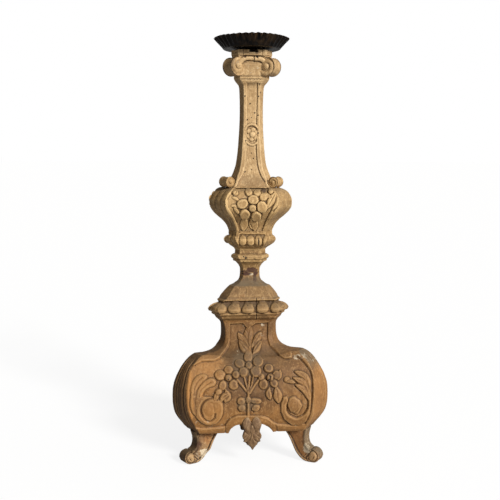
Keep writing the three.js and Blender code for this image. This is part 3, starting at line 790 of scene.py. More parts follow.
class Nodes:
    """Short names for building a shader."""

    def __init__(self, name):
        self.mat = bpy.data.materials.new(name)
        self.mat.use_nodes = True
        self.t = self.mat.node_tree
        self.t.nodes.clear()
        self.out = self.t.nodes.new("ShaderNodeOutputMaterial")
        self.bsdf = self.t.nodes.new("ShaderNodeBsdfPrincipled")
        self.t.links.new(self.bsdf.outputs[0], self.out.inputs[0])
        self.co = self.t.nodes.new("ShaderNodeTexCoord").outputs["Object"]

    def put(self, sock, v):
        if isinstance(v, bpy.types.NodeSocket):
            self.t.links.new(v, sock)
        else:
            sock.default_value = v

    def math(self, op, a, b=0.0, clamp=False):
        n = self.t.nodes.new("ShaderNodeMath")
        n.operation = op
        n.use_clamp = clamp
        self.put(n.inputs[0], a)
        self.put(n.inputs[1], b)
        return n.outputs[0]

    def add(self, a, b):
        return self.math("ADD", a, b)

    def mul(self, a, b):
        return self.math("MULTIPLY", a, b)

    def ramp(self, x, lo, hi, a=0.0, b=1.0):
        n = self.t.nodes.new("ShaderNodeMapRange")
        n.interpolation_type = "SMOOTHSTEP"
        self.put(n.inputs[0], x)
        for i, v in zip((1, 2, 3, 4), (lo, hi, a, b)):
            n.inputs[i].default_value = v
        return n.outputs[0]

    def attr(self, key):
        n = self.t.nodes.new("ShaderNodeAttribute")
        n.attribute_name = key
        return n.outputs["Fac"]

    def scaled(self, s):
        n = self.t.nodes.new("ShaderNodeMapping")
        n.inputs["Scale"].default_value = s
        self.put(n.inputs["Vector"], self.co)
        return n.outputs[0]

    def noise(self, scale, detail=4.0, rough=0.55, stretch=None, distortion=0.0):
        n = self.t.nodes.new("ShaderNodeTexNoise")
        n.inputs["Scale"].default_value = scale
        n.inputs["Detail"].default_value = detail
        n.inputs["Roughness"].default_value = rough
        n.inputs["Distortion"].default_value = distortion
        self.put(n.inputs["Vector"], self.scaled(stretch) if stretch else self.co)
        return n.outputs["Fac"]

    def voronoi(self, scale, feature="F1", stretch=None):
        n = self.t.nodes.new("ShaderNodeTexVoronoi")
        n.feature = feature
        n.inputs["Scale"].default_value = scale
        self.put(n.inputs["Vector"], self.scaled(stretch) if stretch else self.co)
        return n

    def mix(self, f, a, b, mode="MIX"):
        n = self.t.nodes.new("ShaderNodeMix")
        n.data_type = "RGBA"
        n.blend_type = mode
        self.put(n.inputs[0], f)
        self.put(n.inputs[6], a)
        self.put(n.inputs[7], b)
        return n.outputs[2]

    def bump(self, height, strength, distance, normal=None):
        n = self.t.nodes.new("ShaderNodeBump")
        n.inputs["Strength"].default_value = strength
        n.inputs["Distance"].default_value = distance
        self.put(n.inputs["Height"], height)
        if normal is not None:
            self.put(n.inputs["Normal"], normal)
        return n.outputs[0]


def wood(name, base, deep, pale, orange=None, grain=1.0, dirt=1.0, gesso=0.5, worm=1.0, dust=0.5, blotch=0.5, rough=0.66):
    """Stripped and waxed old softwood, once gessoed."""
    m = Nodes(name)
    big = m.noise(14, 3, 0.5)
    mid = m.noise(55, 5, 0.6)
    fine = m.noise(420, 4, 0.65)
    fib = m.noise(700, 4, 0.6, (1, 1, 0.045), 0.15)
    wide = m.noise(160, 3, 0.55, (1, 1, 0.05), 0.3)
    col = m.mix(m.ramp(big, 0.35, 0.66), base, deep)
    col = m.mix(m.mul(m.ramp(mid, 0.45, 0.72), blotch), col, deep)
    if orange is not None:
        col = m.mix(m.mul(m.ramp(m.noise(22, 4, 0.6), 0.52, 0.68), 0.6), col, orange)
    col = m.mix(m.mul(m.ramp(m.noise(90, 5, 0.7), 0.54, 0.72), 0.55), col, pale)
    speck = m.noise(230, 5, 0.75, (1, 1, 0.6), 0.7)
    col = m.mix(m.mul(m.ramp(speck, 0.52, 0.62), 0.75), col, deep)
    col = m.mix(m.mul(m.ramp(speck, 0.48, 0.38), 0.70), col, pale)
    # grain
    col = m.mix(m.mul(m.ramp(fib, 0.5, 0.74), 0.42 * grain), col, deep)
    col = m.mix(m.mul(m.ramp(fib, 0.5, 0.28), 0.30 * grain), col, pale)
    col = m.mix(m.mul(m.ramp(wide, 0.52, 0.72), 0.34 * grain), col, deep)
    # the piece's own lighter and darker areas, together with painted light and shade: sides away from the lamp
    # darkened, some sides facing it or shaded under a moulding lightened
    tint = m.attr("tint")
    warm = orange if orange is not None else pale
    col = m.mix(m.math("MULTIPLY", tint, 1.0, True), col, warm)
    col = m.mix(m.math("MULTIPLY", tint, -1.0, True), col, srgb(62, 43, 25))
    # dirt and painted shade in the hollows, rubbed wear and a painted highlight on the high edges
    cav, cav2 = m.attr("cav"), m.attr("cav2")
    # painted shade with dirt: fine hollows darkened
    grime_and_shade = m.math("MULTIPLY", m.ramp(m.add(cav, m.mul(m.add(mid, -0.55), 0.35)), 0.04, 0.46), 0.9 * dirt, True)
    col = m.mix(grime_and_shade, col, srgb(47, 31, 19))
    # painted shade with dirt: broader hollows darkened too
    broad = m.math("MULTIPLY", m.ramp(m.add(cav2, m.mul(m.add(mid, -0.5), 0.6)), 0.15, 1.6), 0.50 * dirt, True)
    col = m.mix(broad, col, srgb(70, 48, 28))
    # high edges lighter: rubbed wear and a painted highlight
    wear_and_highlight = m.math("MULTIPLY", m.ramp(m.add(cav, m.mul(m.add(fine, -0.5), -0.16)), -0.05, -0.28), 0.55, True)
    col = m.mix(wear_and_highlight, col, pale)
    # old gesso left in pores and corners
    specks = m.ramp(m.noise(230, 5, 0.72), 0.635, 0.70)
    left = m.math("MULTIPLY", m.add(m.ramp(cav2, 0.05, 0.8, 0.15, 0.8), 0.0), m.mul(specks, gesso), True)
    col = m.mix(left, col, srgb(205, 190, 160))
    g = m.attr("gesso")
    flake = m.ramp(m.add(g, m.mul(m.add(m.noise(170, 6, 0.75), -0.5), 1.1)), 0.42, 0.62)
    col = m.mix(m.mul(flake, 0.85), col, srgb(208, 192, 165))
    # stains, dust and holes
    st = m.attr("stain")
    col = m.mix(m.math("MULTIPLY", m.ramp(m.add(st, m.mul(m.add(mid, -0.5), 0.5)), 0.25, 0.7), 0.9, True), col, srgb(58, 26, 17))
    geo = m.t.nodes.new("ShaderNodeNewGeometry")
    sep = m.t.nodes.new("ShaderNodeSeparateXYZ")
    m.put(sep.inputs[0], geo.outputs["Normal"])
    up = m.ramp(sep.outputs[2], 0.35, 0.9)
    lay = m.add(m.mul(up, dust), m.attr("dust"))
    lay = m.math("MULTIPLY", lay, m.ramp(m.noise(120, 5, 0.7), 0.3, 0.6, 0.45, 1.0), True)
    col = m.mix(lay, col, srgb(112, 96, 74))
    v = m.voronoi(150)
    cell = m.t.nodes.new("ShaderNodeSeparateColor")
    m.put(cell.inputs[0], v.outputs["Color"])
    pick = m.ramp(cell.outputs[0], 0.90, 0.91)
    hole = m.math("MULTIPLY", m.mul(m.ramp(v.outputs["Distance"], 0.20, 0.12), pick), worm, True)
    col = m.mix(m.mul(hole, 0.85), col, srgb(28, 17, 10))
    # near-black: holes and cracks, and a painted shadow in the abacus chip
    dk = m.attr("dark")
    col = m.mix(m.math("MULTIPLY", m.ramp(dk, 0.2, 0.8), 0.93, True), col, srgb(22, 15, 10))
    m.put(m.bsdf.inputs["Base Color"], col)
    r = m.add(m.mul(m.add(mid, -0.5), 0.35), rough)
    r = m.add(r, m.mul(m.math("MAXIMUM", lay, flake), 0.2))
    m.put(m.bsdf.inputs["Roughness"], m.math("MULTIPLY", r, 1.0, True))
    m.put(m.bsdf.inputs["Specular IOR Level"], 0.38)
    n1 = m.bump(m.add(m.mul(fib, 0.7), m.mul(fine, 0.5)), 0.34, 0.0006)
    n2 = m.bump(m.add(m.add(mid, m.mul(speck, 0.8)), m.mul(hole, -1.5)), 0.5, 0.0011, n1)
    n3 = m.bump(flake, 0.5, 0.0005, n2)
    m.put(m.bsdf.inputs["Normal"], n3)
    return m.mat


def iron(name, base, rust, bright, rough=0.5, metal=0.55):
    m = Nodes(name)
    a = m.noise(38, 5, 0.65)
    b = m.noise(160, 5, 0.7)
    c = m.noise(700, 3, 0.6)
    col = m.mix(m.mul(m.ramp(b, 0.45, 0.75), 0.6), base, rust)
    col = m.mix(m.mul(m.ramp(a, 0.52, 0.66), 0.7), col, rust)
    # hollows darker: soot and painted shade
    cav = m.attr("cav")
    col = m.mix(m.math("MULTIPLY", m.ramp(cav, 0.0, 0.25), 0.8, True), col, srgb(10, 8, 7))
    # high ridges lighter: rubbed metal and a painted highlight
    edge = m.math("MULTIPLY", m.ramp(m.add(cav, m.mul(m.add(b, -0.5), 0.15)), -0.08, -0.40), 0.45, True)
    col = m.mix(edge, col, bright)
    # painted reflection: the pan's front patches are mixed towards the bright colour
    col = m.mix(m.mul(m.attr("tint"), 1.0), col, bright)
    m.put(m.bsdf.inputs["Base Color"], col)
    m.put(m.bsdf.inputs["Metallic"], m.ramp(b, 0.4, 0.7, metal, metal * 0.45))
    m.put(m.bsdf.inputs["Specular IOR Level"], 0.2)
    m.put(m.bsdf.inputs["Roughness"], m.math("MULTIPLY", m.add(m.mul(b, 0.3), rough - 0.1), 1.0, True))
    m.put(m.bsdf.inputs["Normal"], m.bump(m.add(b, m.mul(c, 0.5)), 0.45, 0.0007))
    return m.mat


BASE_WOOD = wood("base_wood", srgb(141, 99, 52), srgb(108, 73, 37), srgb(172, 132, 84), srgb(170, 119, 63), dirt=0.62, dust=0.3, worm=0.7, gesso=0.95)
LEAF_WOOD = wood("leaf_wood", srgb(128, 98, 66), srgb(98, 72, 48), srgb(160, 130, 95), None, dirt=0.9, dust=0.5, gesso=0.8, worm=0.3)
FOOT_WOOD = wood("foot_wood", srgb(142, 108, 71), srgb(104, 75, 48), srgb(192, 156, 110), srgb(172, 116, 62), dirt=0.9, gesso=0.9, dust=0.35, worm=0.5)
CAP_WOOD = wood("cap_wood", srgb(144, 109, 65), srgb(112, 82, 48), srgb(178, 143, 96), srgb(160, 112, 62), dirt=0.65, dust=0.5, worm=0.7)
CUP_WOOD = wood("cup_wood", srgb(168, 132, 83), srgb(132, 100, 59), srgb(206, 170, 116), None, dirt=0.55, dust=0.35)
KNOP_WOOD = wood("knop_wood", srgb(185, 148, 97), srgb(148, 115, 72), srgb(214, 180, 126), None, dirt=0.85, dust=0.3)
STEM_WOOD = wood("stem_wood", srgb(191, 157, 110), srgb(154, 121, 79), srgb(216, 184, 136), None, grain=1.25, dirt=0.8, dust=0.25, worm=1.2)
DOWEL_WOOD = wood("dowel_wood", srgb(178, 142, 96), srgb(148, 112, 70), srgb(200, 168, 120), None, dust=0.0)
BLACK_IRON = iron("black_iron", srgb(11, 9, 8), srgb(30, 20, 13), srgb(84, 62, 38), 0.42, 0.5)
RUST_IRON = iron("rusted_iron", srgb(46, 34, 27), srgb(92, 56, 34), srgb(96, 78, 62), 0.66, 0.35)

# ------------------------------------------------------------------ the base: three staves
BODY = [
    [50, 86, 107.5, 74],
    [55, 88, 111.5, 76.5],
    [60, 91, 116, 79.5],
    [66, 94.5, 120.5, 82.5],
    [73, 98, 124.8, 85],
    [81, 101, 128.2, 87.5],
    [91, 103.8, 130, 89],
    [100, 105.5, 130.5, 89.5],
    [108, 106, 130.5, 89.7],
    [118, 106, 130.2, 89],
    [127, 105.5, 128.8, 87.6],
    [140, 103.3, 124.6, 84.4],
    [153, 100.3, 118.2, 79.6],
    [162.5, 95.8, 111.8, 74.5],
    [170, 89.5, 105, 68.5],
    [175, 84.5, 99, 64.5],
    [178.6, 79.5, 92, 60.5],
    [179.1, 70, 79, 60],
    [179.8, 61, 70, 59],
    [183.5, 51, 60.5, 54.5],
    [190, 43.6, 52.9, 48],
    [200, 40, 48.6, 38],
    [210, 39.2, 47.1, 33],
    [219, 39.8, 47, 31.8],
    [226, 41.5, 47.6, 31.8],
    [230.7, 43.2, 50.3, 32.5],
]
HOLLOW = np.array([[40, 50, 62], [90, 56, 69], [130, 48, 60], [160, 27, 36], [178, 12, 15], [231, 11.5, 14.5]], float)
ARCH_X = [-60, -38.4, -37.6, -34.6, -31, -27.6, -22, -17, 0, 13.6, 20.7, 28, 32.5, 34.6, 35.2, 60]
ARCH_Z = [50, 50, 51.5, 58.8, 62, 64.5, 66, 66.8, 67.8, 67.6, 64.6, 59.8, 55, 51.5, 50, 50]


def body_arris(worn_arrises):
    def f(arris, z):
        if arris in worn_arrises:
            return 1.4 + 0 * z
        return 2.4 + 0 * z

    return f


def body_strip(hd, along, v, z, soft=1.0):
    """Mouldings down the canted corners."""
    k = soft * smooth(52, 60, z) * (1 - smooth(168, 176, z))
    h = np.zeros(z.shape)
    for at in (-0.5, 0.5):
        h -= 2.3 * k * np.exp(-(((v - at) * 23) / 1.9) ** 2)
    for at in (-0.16, 0.16):
        h -= 0.9 * k * np.exp(-(((v - at) * 23) / 1.0) ** 2)
    return h + 0.6 * k * (1 - smooth(0.2, 0.45, np.abs(v)))


CUT_Z = [50, 57, 64, 74.5, 99, 124, 146, 156, 163.5, 174.7, 179, 200]
CUT_X = [92, 95, 97.5, 101, 101.2, 102.2, 102.2, 99.5, 96.2, 87.5, 82, 90]


def reshape(p, prof):
    """The front right corner was planed flatter than the others, and the shoulders' corners stand up a little."""
    x, y, z = p[..., 0], p[..., 1], p[..., 2]
    ah, wh, mid = prof(z)
    edge = (2 * wh - ah) / R3
    ax = np.interp(z, CUT_Z, CUT_X)
    ay = -(edge + 0.6)
    bx, by = wh + 0.3, -(R3 / 2) * ah + edge / 2
    dx, dy = bx - ax, by - ay
    ll = np.hypot(dx, dy)
    nx, ny = -dy / ll * -1, dx / ll * -1  # outward from the plane
    d = (x - ax) * nx + (y - ay) * ny
    k = smooth(52, 60, z) * (1 - smooth(174, 178.4, z)) * (x > 60) * (y < 0)
    d = np.clip(d, 0, None) * k
    p[..., 0] -= d * nx
    p[..., 1] -= d * ny
    c = np.cos(3 * (np.arctan2(p[..., 0], -p[..., 1]) - math.radians(60)))
    win = smooth(152, 177, z) * (1 - smooth(180, 190, z))
    p[..., 2] += win * (2.6 * smooth(0.55, 0.95, c) * (p[..., 0] > 0) - 2.6 * (1 - smooth(0.2, 0.9, c)))
    return p


def stave(name, heading, left_worn, right_worn, relief, prof, node, paint=None):
    nf, ns = 212, 28
    zs = prof.levels(0.78)
    n = (len(zs) - 1) // 4 * 4
    keep = np.linspace(0, len(zs) - 1, n + 1).round().astype(int)
    zs = zs[keep]
    head = np.array([300] * ns + [0] * (nf + 1) + [60] * ns)
    isf = np.array([False] * ns + [True] * (nf + 1) + [False] * ns)
    u = np.concatenate([np.linspace(0, 1, ns, endpoint=False), np.linspace(-1, 1, nf + 1), np.linspace(-1, 0, ns + 1)[1:]])
    nc = len(u)
    # columns: nc - 1 is a multiple of four
    zb = np.full(nc, 50.0)
    m = isf
    for _ in range(8):
        ah = np.interp(zb[m], prof.z, prof.v[:, 0])
        zb[m] = np.interp(u[m] * ah, ARCH_X, ARCH_Z)
    z = np.repeat(zs[:, None], nc, 1)
    low = z < 95
    z = np.where(low, zb[None, :] + (z - 50) * (95 - zb[None, :]) / 45, z)
    worn = body_arris({a for a, w in ((330, left_worn), (30, right_worn)) if w})
    p, along = section(prof, z, (head, isf, u), worn)
    nrm = normals(p)
    h = np.zeros(z.shape)
    h[:, m] = relief.at(relief.H, along[:, m], z[:, m])
    if heading:
        h[:, m] *= smooth(-1.0, -0.91, u[m])[None, :]  # the other faces keep a rim on this side
    for hd, w in ((300, left_worn), (60, right_worn)):
        s = (head == hd)
        h[:, s] = body_strip(hd, along[:, s], u[s][None, :] + 0 * z[:, s], z[:, s], 0.25 if w else 1.0)
        if hd == 300 and heading == 0:
            # the face is sunk right up to this corner, so the corner is cut back with it
            edge = h[:, np.flatnonzero(m)[0]][:, None]
            h[:, s] += np.minimum(edge, 0) * (1 - smooth(0.0, 0.36, 1 - u[s]))[None, :]
    hand = 0.3 * fbm(p, (14, 14, 18), 3, 3 + heading) + 0.12 * vnoise(p, (4, 4, 7), 9)
    ends = smooth(0, 2, z - 50.2) * smooth(0, 2, zs[-1] - z)
    inset = np.minimum(np.arange(nc), nc - 1 - np.arange(nc))
    p = p + nrm * (h + hand * ends * smooth(0, 3, inset)[None, :])[..., None]
    if heading == 240:
        # this side's shoulder was cut lower
        pull = 8.0 * smooth(164, 176, z) * (1 - smooth(181, 188, z))
        pull[:, m] *= 1 - smooth(0.75, 1.0, np.abs(u[m]))[None, :]
        pull[:, ~m] = 0
        p = p - nrm * pull[..., None]
    p = turn(reshape(turn(p, heading), prof), -heading)
    cav, cav2 = cavities(p, False)
    # a hair's gap at the mitres
    side = np.zeros(nc)
    side[0], side[-1] = 0.1, -0.1
    p[:, 0] += 0.1 * t_dir(300)
    p[:, -1] -= 0.1 * t_dir(60)
    # inside of the stave
    rows, colsi = np.arange(0, len(zs), 4), np.arange(0, nc, 4)
    zi = z[np.ix_(rows, colsi)].copy()
    ui, hi, fi = u[colsi], head[colsi], isf[colsi]
    xo = ui * 88.0
    xi = np.where(np.abs(xo) <= 42, xo, np.sign(xo) * (42 + (np.abs(xo) - 42) * 9 / 46))
    ahi = np.interp(zi, HOLLOW[:, 0], HOLLOW[:, 1])
    whi = np.interp(zi, HOLLOW[:, 0], HOLLOW[:, 2])
    q = np.zeros((len(rows), len(colsi), 3))
    for j in range(len(colsi)):
        if fi[j]:
            x = xi[j] * ahi[:, j] / 51.0
            q[:, j] = o_dir(0) * ((2 * whi[:, j] - ahi[:, j]) / R3)[:, None] + t_dir(0) * x[:, None]
        else:
            hd = int(hi[j])
            q[:, j] = o_dir(hd) * ((ahi[:, j] + whi[:, j]) / R3)[:, None] + t_dir(hd) * (ui[j] * (whi[:, j] - ahi[:, j]))[:, None]
    q[:, 0] += 0.1 * t_dir(300)
    q[:, -1] -= 0.1 * t_dir(60)
    q[..., 2] = zi
    p[..., 2] = p[..., 2]
    nr, nb, na = len(zs), len(colsi), len(rows)
    V = np.vstack([p.reshape(-1, 3), q.reshape(-1, 3)])
    V = turn(V, heading)
    O = np.arange(nr * nc).reshape(nr, nc)
    I = nr * nc + np.arange(na * nb).reshape(na, nb)
    faces = [grid_faces(nr, nc), grid_faces(na, nb, start=nr * nc, flip=True)]
    top, bottom, left, right = [], [], [], []
    for b in range(nb - 1):
        c = 4 * b
        top.append(list(O[-1, c : c + 5]) + [I[-1, b + 1], I[-1, b]])
        bottom.append(list(O[0, c : c + 5][::-1]) + [I[0, b], I[0, b + 1]])
    for a in range(na - 1):
        c = 4 * a
        left.append(list(O[c : c + 5, 0]) + [I[a + 1, 0], I[a, 0]])
        right.append(list(O[c : c + 5, -1][::-1]) + [I[a, -1], I[a + 1, -1]])
    faces += [np.array(top), np.array(bottom), np.array(left), np.array(right)]
    a = {"cav": cav, "cav2": cav2}
    if paint is not None:
        paint(a, turn(p, heading), h)
    attrs = {k: np.concatenate([np.asarray(v).ravel(), np.zeros(na * nb)]) for k, v in a.items()}
    return make(name, V, faces, BASE_WOOD, "candlestick", [node], attrs, sharp=58)


BASE_R = base_relief()
BODY_P = Profile(BODY, sharp=(178.6, 179.1))


def paint_front_stave(a, p, h):
    x, z = p[..., 0], p[..., 2]
    t = front_tint(BASE_R, p, 0.8)
    t = t + 0.35 * spot(p, -70, 150, 34, 30, seed=4, size=14) + 0.3 * spot(p, -103, 110, 9, 60, seed=5, size=8)
    t = t - 0.28 * spot(p, 12, 150, 70, 45, seed=6, size=16) - 0.16 * spot(p, 40, 70, 50, 16, seed=7, size=10)
    t = t + 0.4 * spot(p, -62, 90, 22, 24, seed=8, size=8) * 0.6
    t = t + 0.42 * (1 - smooth(62, 104, z)) - 0.24 * smooth(150, 190, z) * (1 - smooth(222, 229, z)) * (np.abs(x + 3) < 46)
    t = t - 0.16 * spot(p, -5, 145, 52, 40, rag=0.2, seed=46, size=20) + 0.55 * spot(p, -106, 112, 9, 54, rag=0.1, seed=56, size=6)
    # painted light: the front right corner, which faces the lamp, is made lighter
    t = t + 0.34 * smooth(96, 106, x) * smooth(60, 70, z) * (1 - smooth(165, 176, z))
    t = t + 0.45 * spot(p, -102, 112, 7.5, 52, rag=0.2, seed=45, size=6)
    # painted shade: the front left corner, away from the lamp, is darkened
    d = canted_corner_mask(p, BODY_P)
    a["tint"] = t * (1 - d) - 0.62 * d
    a["gesso"] = (
        0.30 * d * (vnoise(p, (3, 3, 26), 47) > 0.62) + 0.42 * spot(p, -80, 72, 14, 5, seed=21, size=3) + 0.5 * spot(p, 80, 173, 13, 5, seed=22, size=3)
        + 0.34 * spot(p, 78, 84, 16, 7, seed=23, size=3) + 0.45 * spot(p, 20, 205, 5, 4, seed=24, size=2)
        + 0.5 * spot(p, 24, 221, 4, 3, seed=25, size=2) + 0.4 * spot(p, -12, 221, 6, 3, seed=26, size=2)
        + 0.35 * spot(p, -52, 62, 30, 2.5, seed=27, size=3) + 0.32 * spot(p, -4, 74, 42, 7, seed=28, size=5)
    )
    a["dark"] = 0.9 * spot(p, -37.5, 143.5, 1.6, seed=31, size=2) + 0.8 * spot(p, 29.5, 141, 1.8, seed=32, size=2) + 0.8 * spot(p, 32.5, 145, 1.4, seed=33, size=2)
    top = smooth(146, 166, z) * (1 - smooth(181, 184, z)) * smooth(-1, 1, x - np.interp(z, CUT_Z, CUT_X))
    a["tint"] = a["tint"] * (1 - 0.9 * top) - 0.30 * top
    a["gesso"] = a["gesso"] + 0.40 * top
    a["dust"] = 0.55 * top + 0.3 * spot(p, -8, 165, 24, 18, seed=34, size=8) + 0.45 * spot(p, -6, 100, 16, 12, seed=35, size=8)


def paint_right_stave(a, p, h):
    x, z = p[..., 0], p[..., 2]
    strip = (x > 92) & (z > 66) & (z < 176) & (p[..., 1] < 0)
    # painted light: the front right corner, facing the lamp, is made lighter
    a["tint"] = 0.42 * np.where(strip, smooth(92, 104, x), 0)
    top = smooth(146, 166, z) * (1 - smooth(181, 184, z)) * (x > 84) * (p[..., 1] < 0)
    a["tint"] = a["tint"] * (1 - 0.9 * top) - 0.30 * top
    a["dust"] = 0.55 * top
    a["gesso"] = 0.34 * np.where(strip, 1.0, 0) * (vnoise(p, (3, 3, 5), 48) > 0.6) + 0.40 * top


def paint_left_stave(a, p, h):
    d = canted_corner_mask(p, BODY_P)
    # painted shade: this stave faces away from the lamp and is darkened, most on its canted corner
    a["tint"] = -0.62 * d - 0.25 * (1 - d)
    a["gesso"] = 0.36 * d * (vnoise(p, (3, 3, 26), 49) > 0.58)


stave("base_front", 0, False, True, BASE_R, BODY_P, "base_stave_front", paint_front_stave)
stave("base_right", 120, False, False, BASE_R, BODY_P, "base_stave_right", paint_right_stave)
stave("base_left", 240, False, False, BASE_R, BODY_P, "base_stave_left", paint_left_stave)

# ------------------------------------------------------------------ cap, collar, cup, knop, shaft, capital, abacus
CAP = Profile([
    [231, 43.2, 50.5], [235, 44.3, 55.4], [238.7, 45.2, 57.5], [242, 47.5, 63.4], [245.5, 50.5, 67.8], [249.5, 52.6, 69],
    [254, 53, 66.7], [258.5, 49, 60.5], [262, 44, 54.1], [265.5, 42, 53.2], [267, 38, 50.6], [271.4, 35, 48.2],
    [278, 31.3, 43], [284, 27.5, 37.5], [287, 25.8, 34.5], [289, 21.5, 29], [291.5, 17.8, 25], [296, 14.3, 19.6],
    [301.5, 11.4, 17.5], [308.7, 11.2, 17],
], sharp=(238.7, 265.5, 267, 287))
CAP_R = cap_relief()


def cap_strip(hd, along, v, z):
    k = smooth(241.0, 242.8, z) * (1 - smooth(262.4, 264.2, z))
    q = np.hypot(v / 0.95, (z - 252.2) / 11.0)
    return k * (-3.6 + 4.4 * np.sqrt(np.clip(1 - q * q, 0, 1)))


def paint_cap(a, p, h):
    z = p[..., 2]
    a["tint"] = front_tint(CAP_R, p) - 0.8 * smooth(284, 288, z) * (1 - smooth(297, 303, z)) * (0.6 + 0.8 * fbm(p, 5, 2, 46))
    a["dust"] = 0.55 * smooth(285.5, 288, z) * (1 - smooth(299, 305, z)) + 0.25 * smooth(266, 268, z) * (1 - smooth(268, 271, z))
    a["stain"] = spot(p, 8, 299, 3.0, 9, seed=41, size=4) + 0.9 * spot(p, -6, 306, 8, 3.0, seed=42, size=3) + 0.9 * spot(p, 9, 307, 4, 3, seed=42, size=3)
    a["gesso"] = 0.62 * spot(p, 1.5, 305.5, 5.5, 2.4, seed=43, size=2) + 0.4 * spot(p, 30, 268, 10, 3, seed=44, size=3) + 0.3 * spot(p, 0, 290, 16, 4, seed=45, size=3)
    crack = np.exp(-((p[..., 0] - 12.3) / 0.6) ** 2) * (z > 232) * (z < 268) * (p[..., 1] < 0)
    a["dark"] = 0.75 * crack


ring_piece("cap", CAP, 0.75, 108, 36, CAP_WOOD, ["base_cap"], relief_of(CAP_R, cap_strip), paint_cap, rough=0.22, seed=2)

COLLAR = Profile([
    [309, 11.4, 17], [315, 11.8, 17.2], [320, 13.0, 19.3], [325, 14.8, 23.4], [327.2, 15.6, 25.8], [327.6, 16.9, 28.4],
    [330.6, 17.5, 29.6], [331.1, 17.2, 28.8], [333, 19.2, 31.7], [335.6, 20.8, 32.5], [338.2, 20.9, 31.6], [340.2, 18.9, 28.0],
    [340.8, 17.9, 26.4], [346.7, 17.5, 25.9],
], sharp=(327.2, 327.6, 330.6, 331.1, 340.8))


def paint_collar(a, p, h):
    z = p[..., 2]
    a["stain"] = 1.0 * spot(p, 3, 313.2, 10, 4.2, seed=51, size=3) + 0.6 * (1 - smooth(309.3, 311, z)) + 0.5 * spot(p, -9, 310.5, 5, 3, seed=52, size=3)
    a["dark"] = 0.8 * spot(p, -8, 334.5, 1.7, 2.6, seed=53, size=2) + 0.8 * spot(p, -12, 336.5, 1.5, 1.3, seed=54, size=2) + 0.6 * spot(p, 7, 333, 2.4, 0.9, seed=55, size=2) + 0.4 * spot(p, 4, 341, 9, 0.9, seed=56, size=2)
    a["gesso"] = 0.35 * spot(p, 14, 339, 6, 2, seed=57, size=3)


ring_piece("collar", COLLAR, 0.55, 62, 26, CUP_WOOD, ["stem_collar"], None, paint_collar, rough=0.2, seed=4, worn=lambda a, z: np.full(z.shape, 2.0))

CUP = Profile([
    [347, 17.6, 26], [350, 18.6, 28], [352.5, 19.8, 31.5], [354.5, 20.8, 35.5], [359, 22.6, 41.5], [364.5, 25.6, 43.7],
    [369.5, 26.3, 41.4], [373, 24.6, 37.6], [376, 23.9, 37.2], [379.7, 23.7, 37.1],
], sharp=(352.5, 376))
CUP_R = cup_relief()


def cup_strip(hd, along, v, z):
    k = smooth(353.5, 356, z) * (1 - smooth(372, 374.5, z))
    soft = 0.3 if hd == 60 else 1.0
    return -1.9 * soft * k * (1 - np.abs(np.sin(np.pi * (v + 1) * 1.0)) ** 0.6)


def paint_cup(a, p, h):
    # painted light: the foot of the cup, in shade under the swell above, is made lighter
    a["tint"] = front_tint(CUP_R, p) + 1.0 * (1 - smooth(345, 352, p[..., 2]))
    a["dark"] = 0.7 * spot(p, 12.5, 362, 1.5, 4.5, seed=61, size=2)


ring_piece("cup", CUP, 0.6, 92, 40, CUP_WOOD, ["gadroon_cup"], relief_of(CUP_R, cup_strip), paint_cup, rough=0.2, seed=6)

KNOP = Profile([
    [380, 24.3, 37.1], [388, 26.3, 40.5], [397, 30.1, 47.6], [405, 34.9, 56.9], [414, 40.4, 65.6], [422, 43.6, 69.3],
    [430.6, 44.3, 69.7], [439, 41.8, 66.8], [446.5, 37.2, 60.6], [450, 33.2, 54], [452.2, 30.4, 47.5],
])
KNOP_R = knop_relief()


def knop_strip(hd, along, v, z):
    k = smooth(382, 392, z) * (1 - smooth(446, 451, z))
    soft = 0.75 if hd == 60 else 1.0
    return -1.5 * soft * k * (1 - np.abs(np.sin(np.pi * (v + 1) * 1.5)) ** 0.55)


def knop_arris(arris, z):
    return np.full(z.shape, 6.0 if arris == 30 else 2.4)


def paint_knop(a, p, h):
    flush(a, p, 452.3)
    # painted shade on the canted corners, most on the two away from the lamp
    a["tint"] = front_tint(KNOP_R, p) - 0.25 * canted_corner_mask(p, KNOP) - 0.25 * canted_corner_mask(p, KNOP, 180) - 0.12 * canted_corner_mask(p, KNOP, 60) + 0.2 * spot(p, -38, 425, 8, 26, seed=71, size=6)
    a["stain"] = 0.9 * spot(p, 19.3, 448.6, 4.4, 3.0, seed=72, size=3) + 0.25 * spot(p, 42, 436, 3, 12, seed=73, size=4)
    a["dust"] = 0.3 * smooth(444, 450, p[..., 2])
    a["gesso"] = 0.45 * spot(p, -28, 441, 3, 3, seed=74, size=2) + 0.3 * spot(p, -29, 414, 2, 12, seed=75, size=2)


ring_piece("knop_carved", KNOP, 0.8, 110, 50, KNOP_WOOD, ["knop"], relief_of(KNOP_R, knop_strip), paint_knop, rough=0.22, seed=8, worn=knop_arris)

SHAFT = Profile([
    [452.5, 29.6, 44.0], [455, 27.9, 40.2], [460, 26, 37], [469.3, 23.2, 33.5], [474.3, 21.5, 31.2], [481, 19.1, 28.5], [489, 17.6, 26],
    [497.3, 16.4, 24.6], [514, 15.1, 22.6], [531, 14.1, 21.4], [547, 13.3, 20.3], [580, 12.8, 19.6], [613, 13.2, 20.5],
    [619.5, 13.9, 21.6], [625.5, 17.1, 26.5], [631, 20, 29.7], [633.7, 20.1, 29.9],
])
SHAFT_R = shaft_relief()


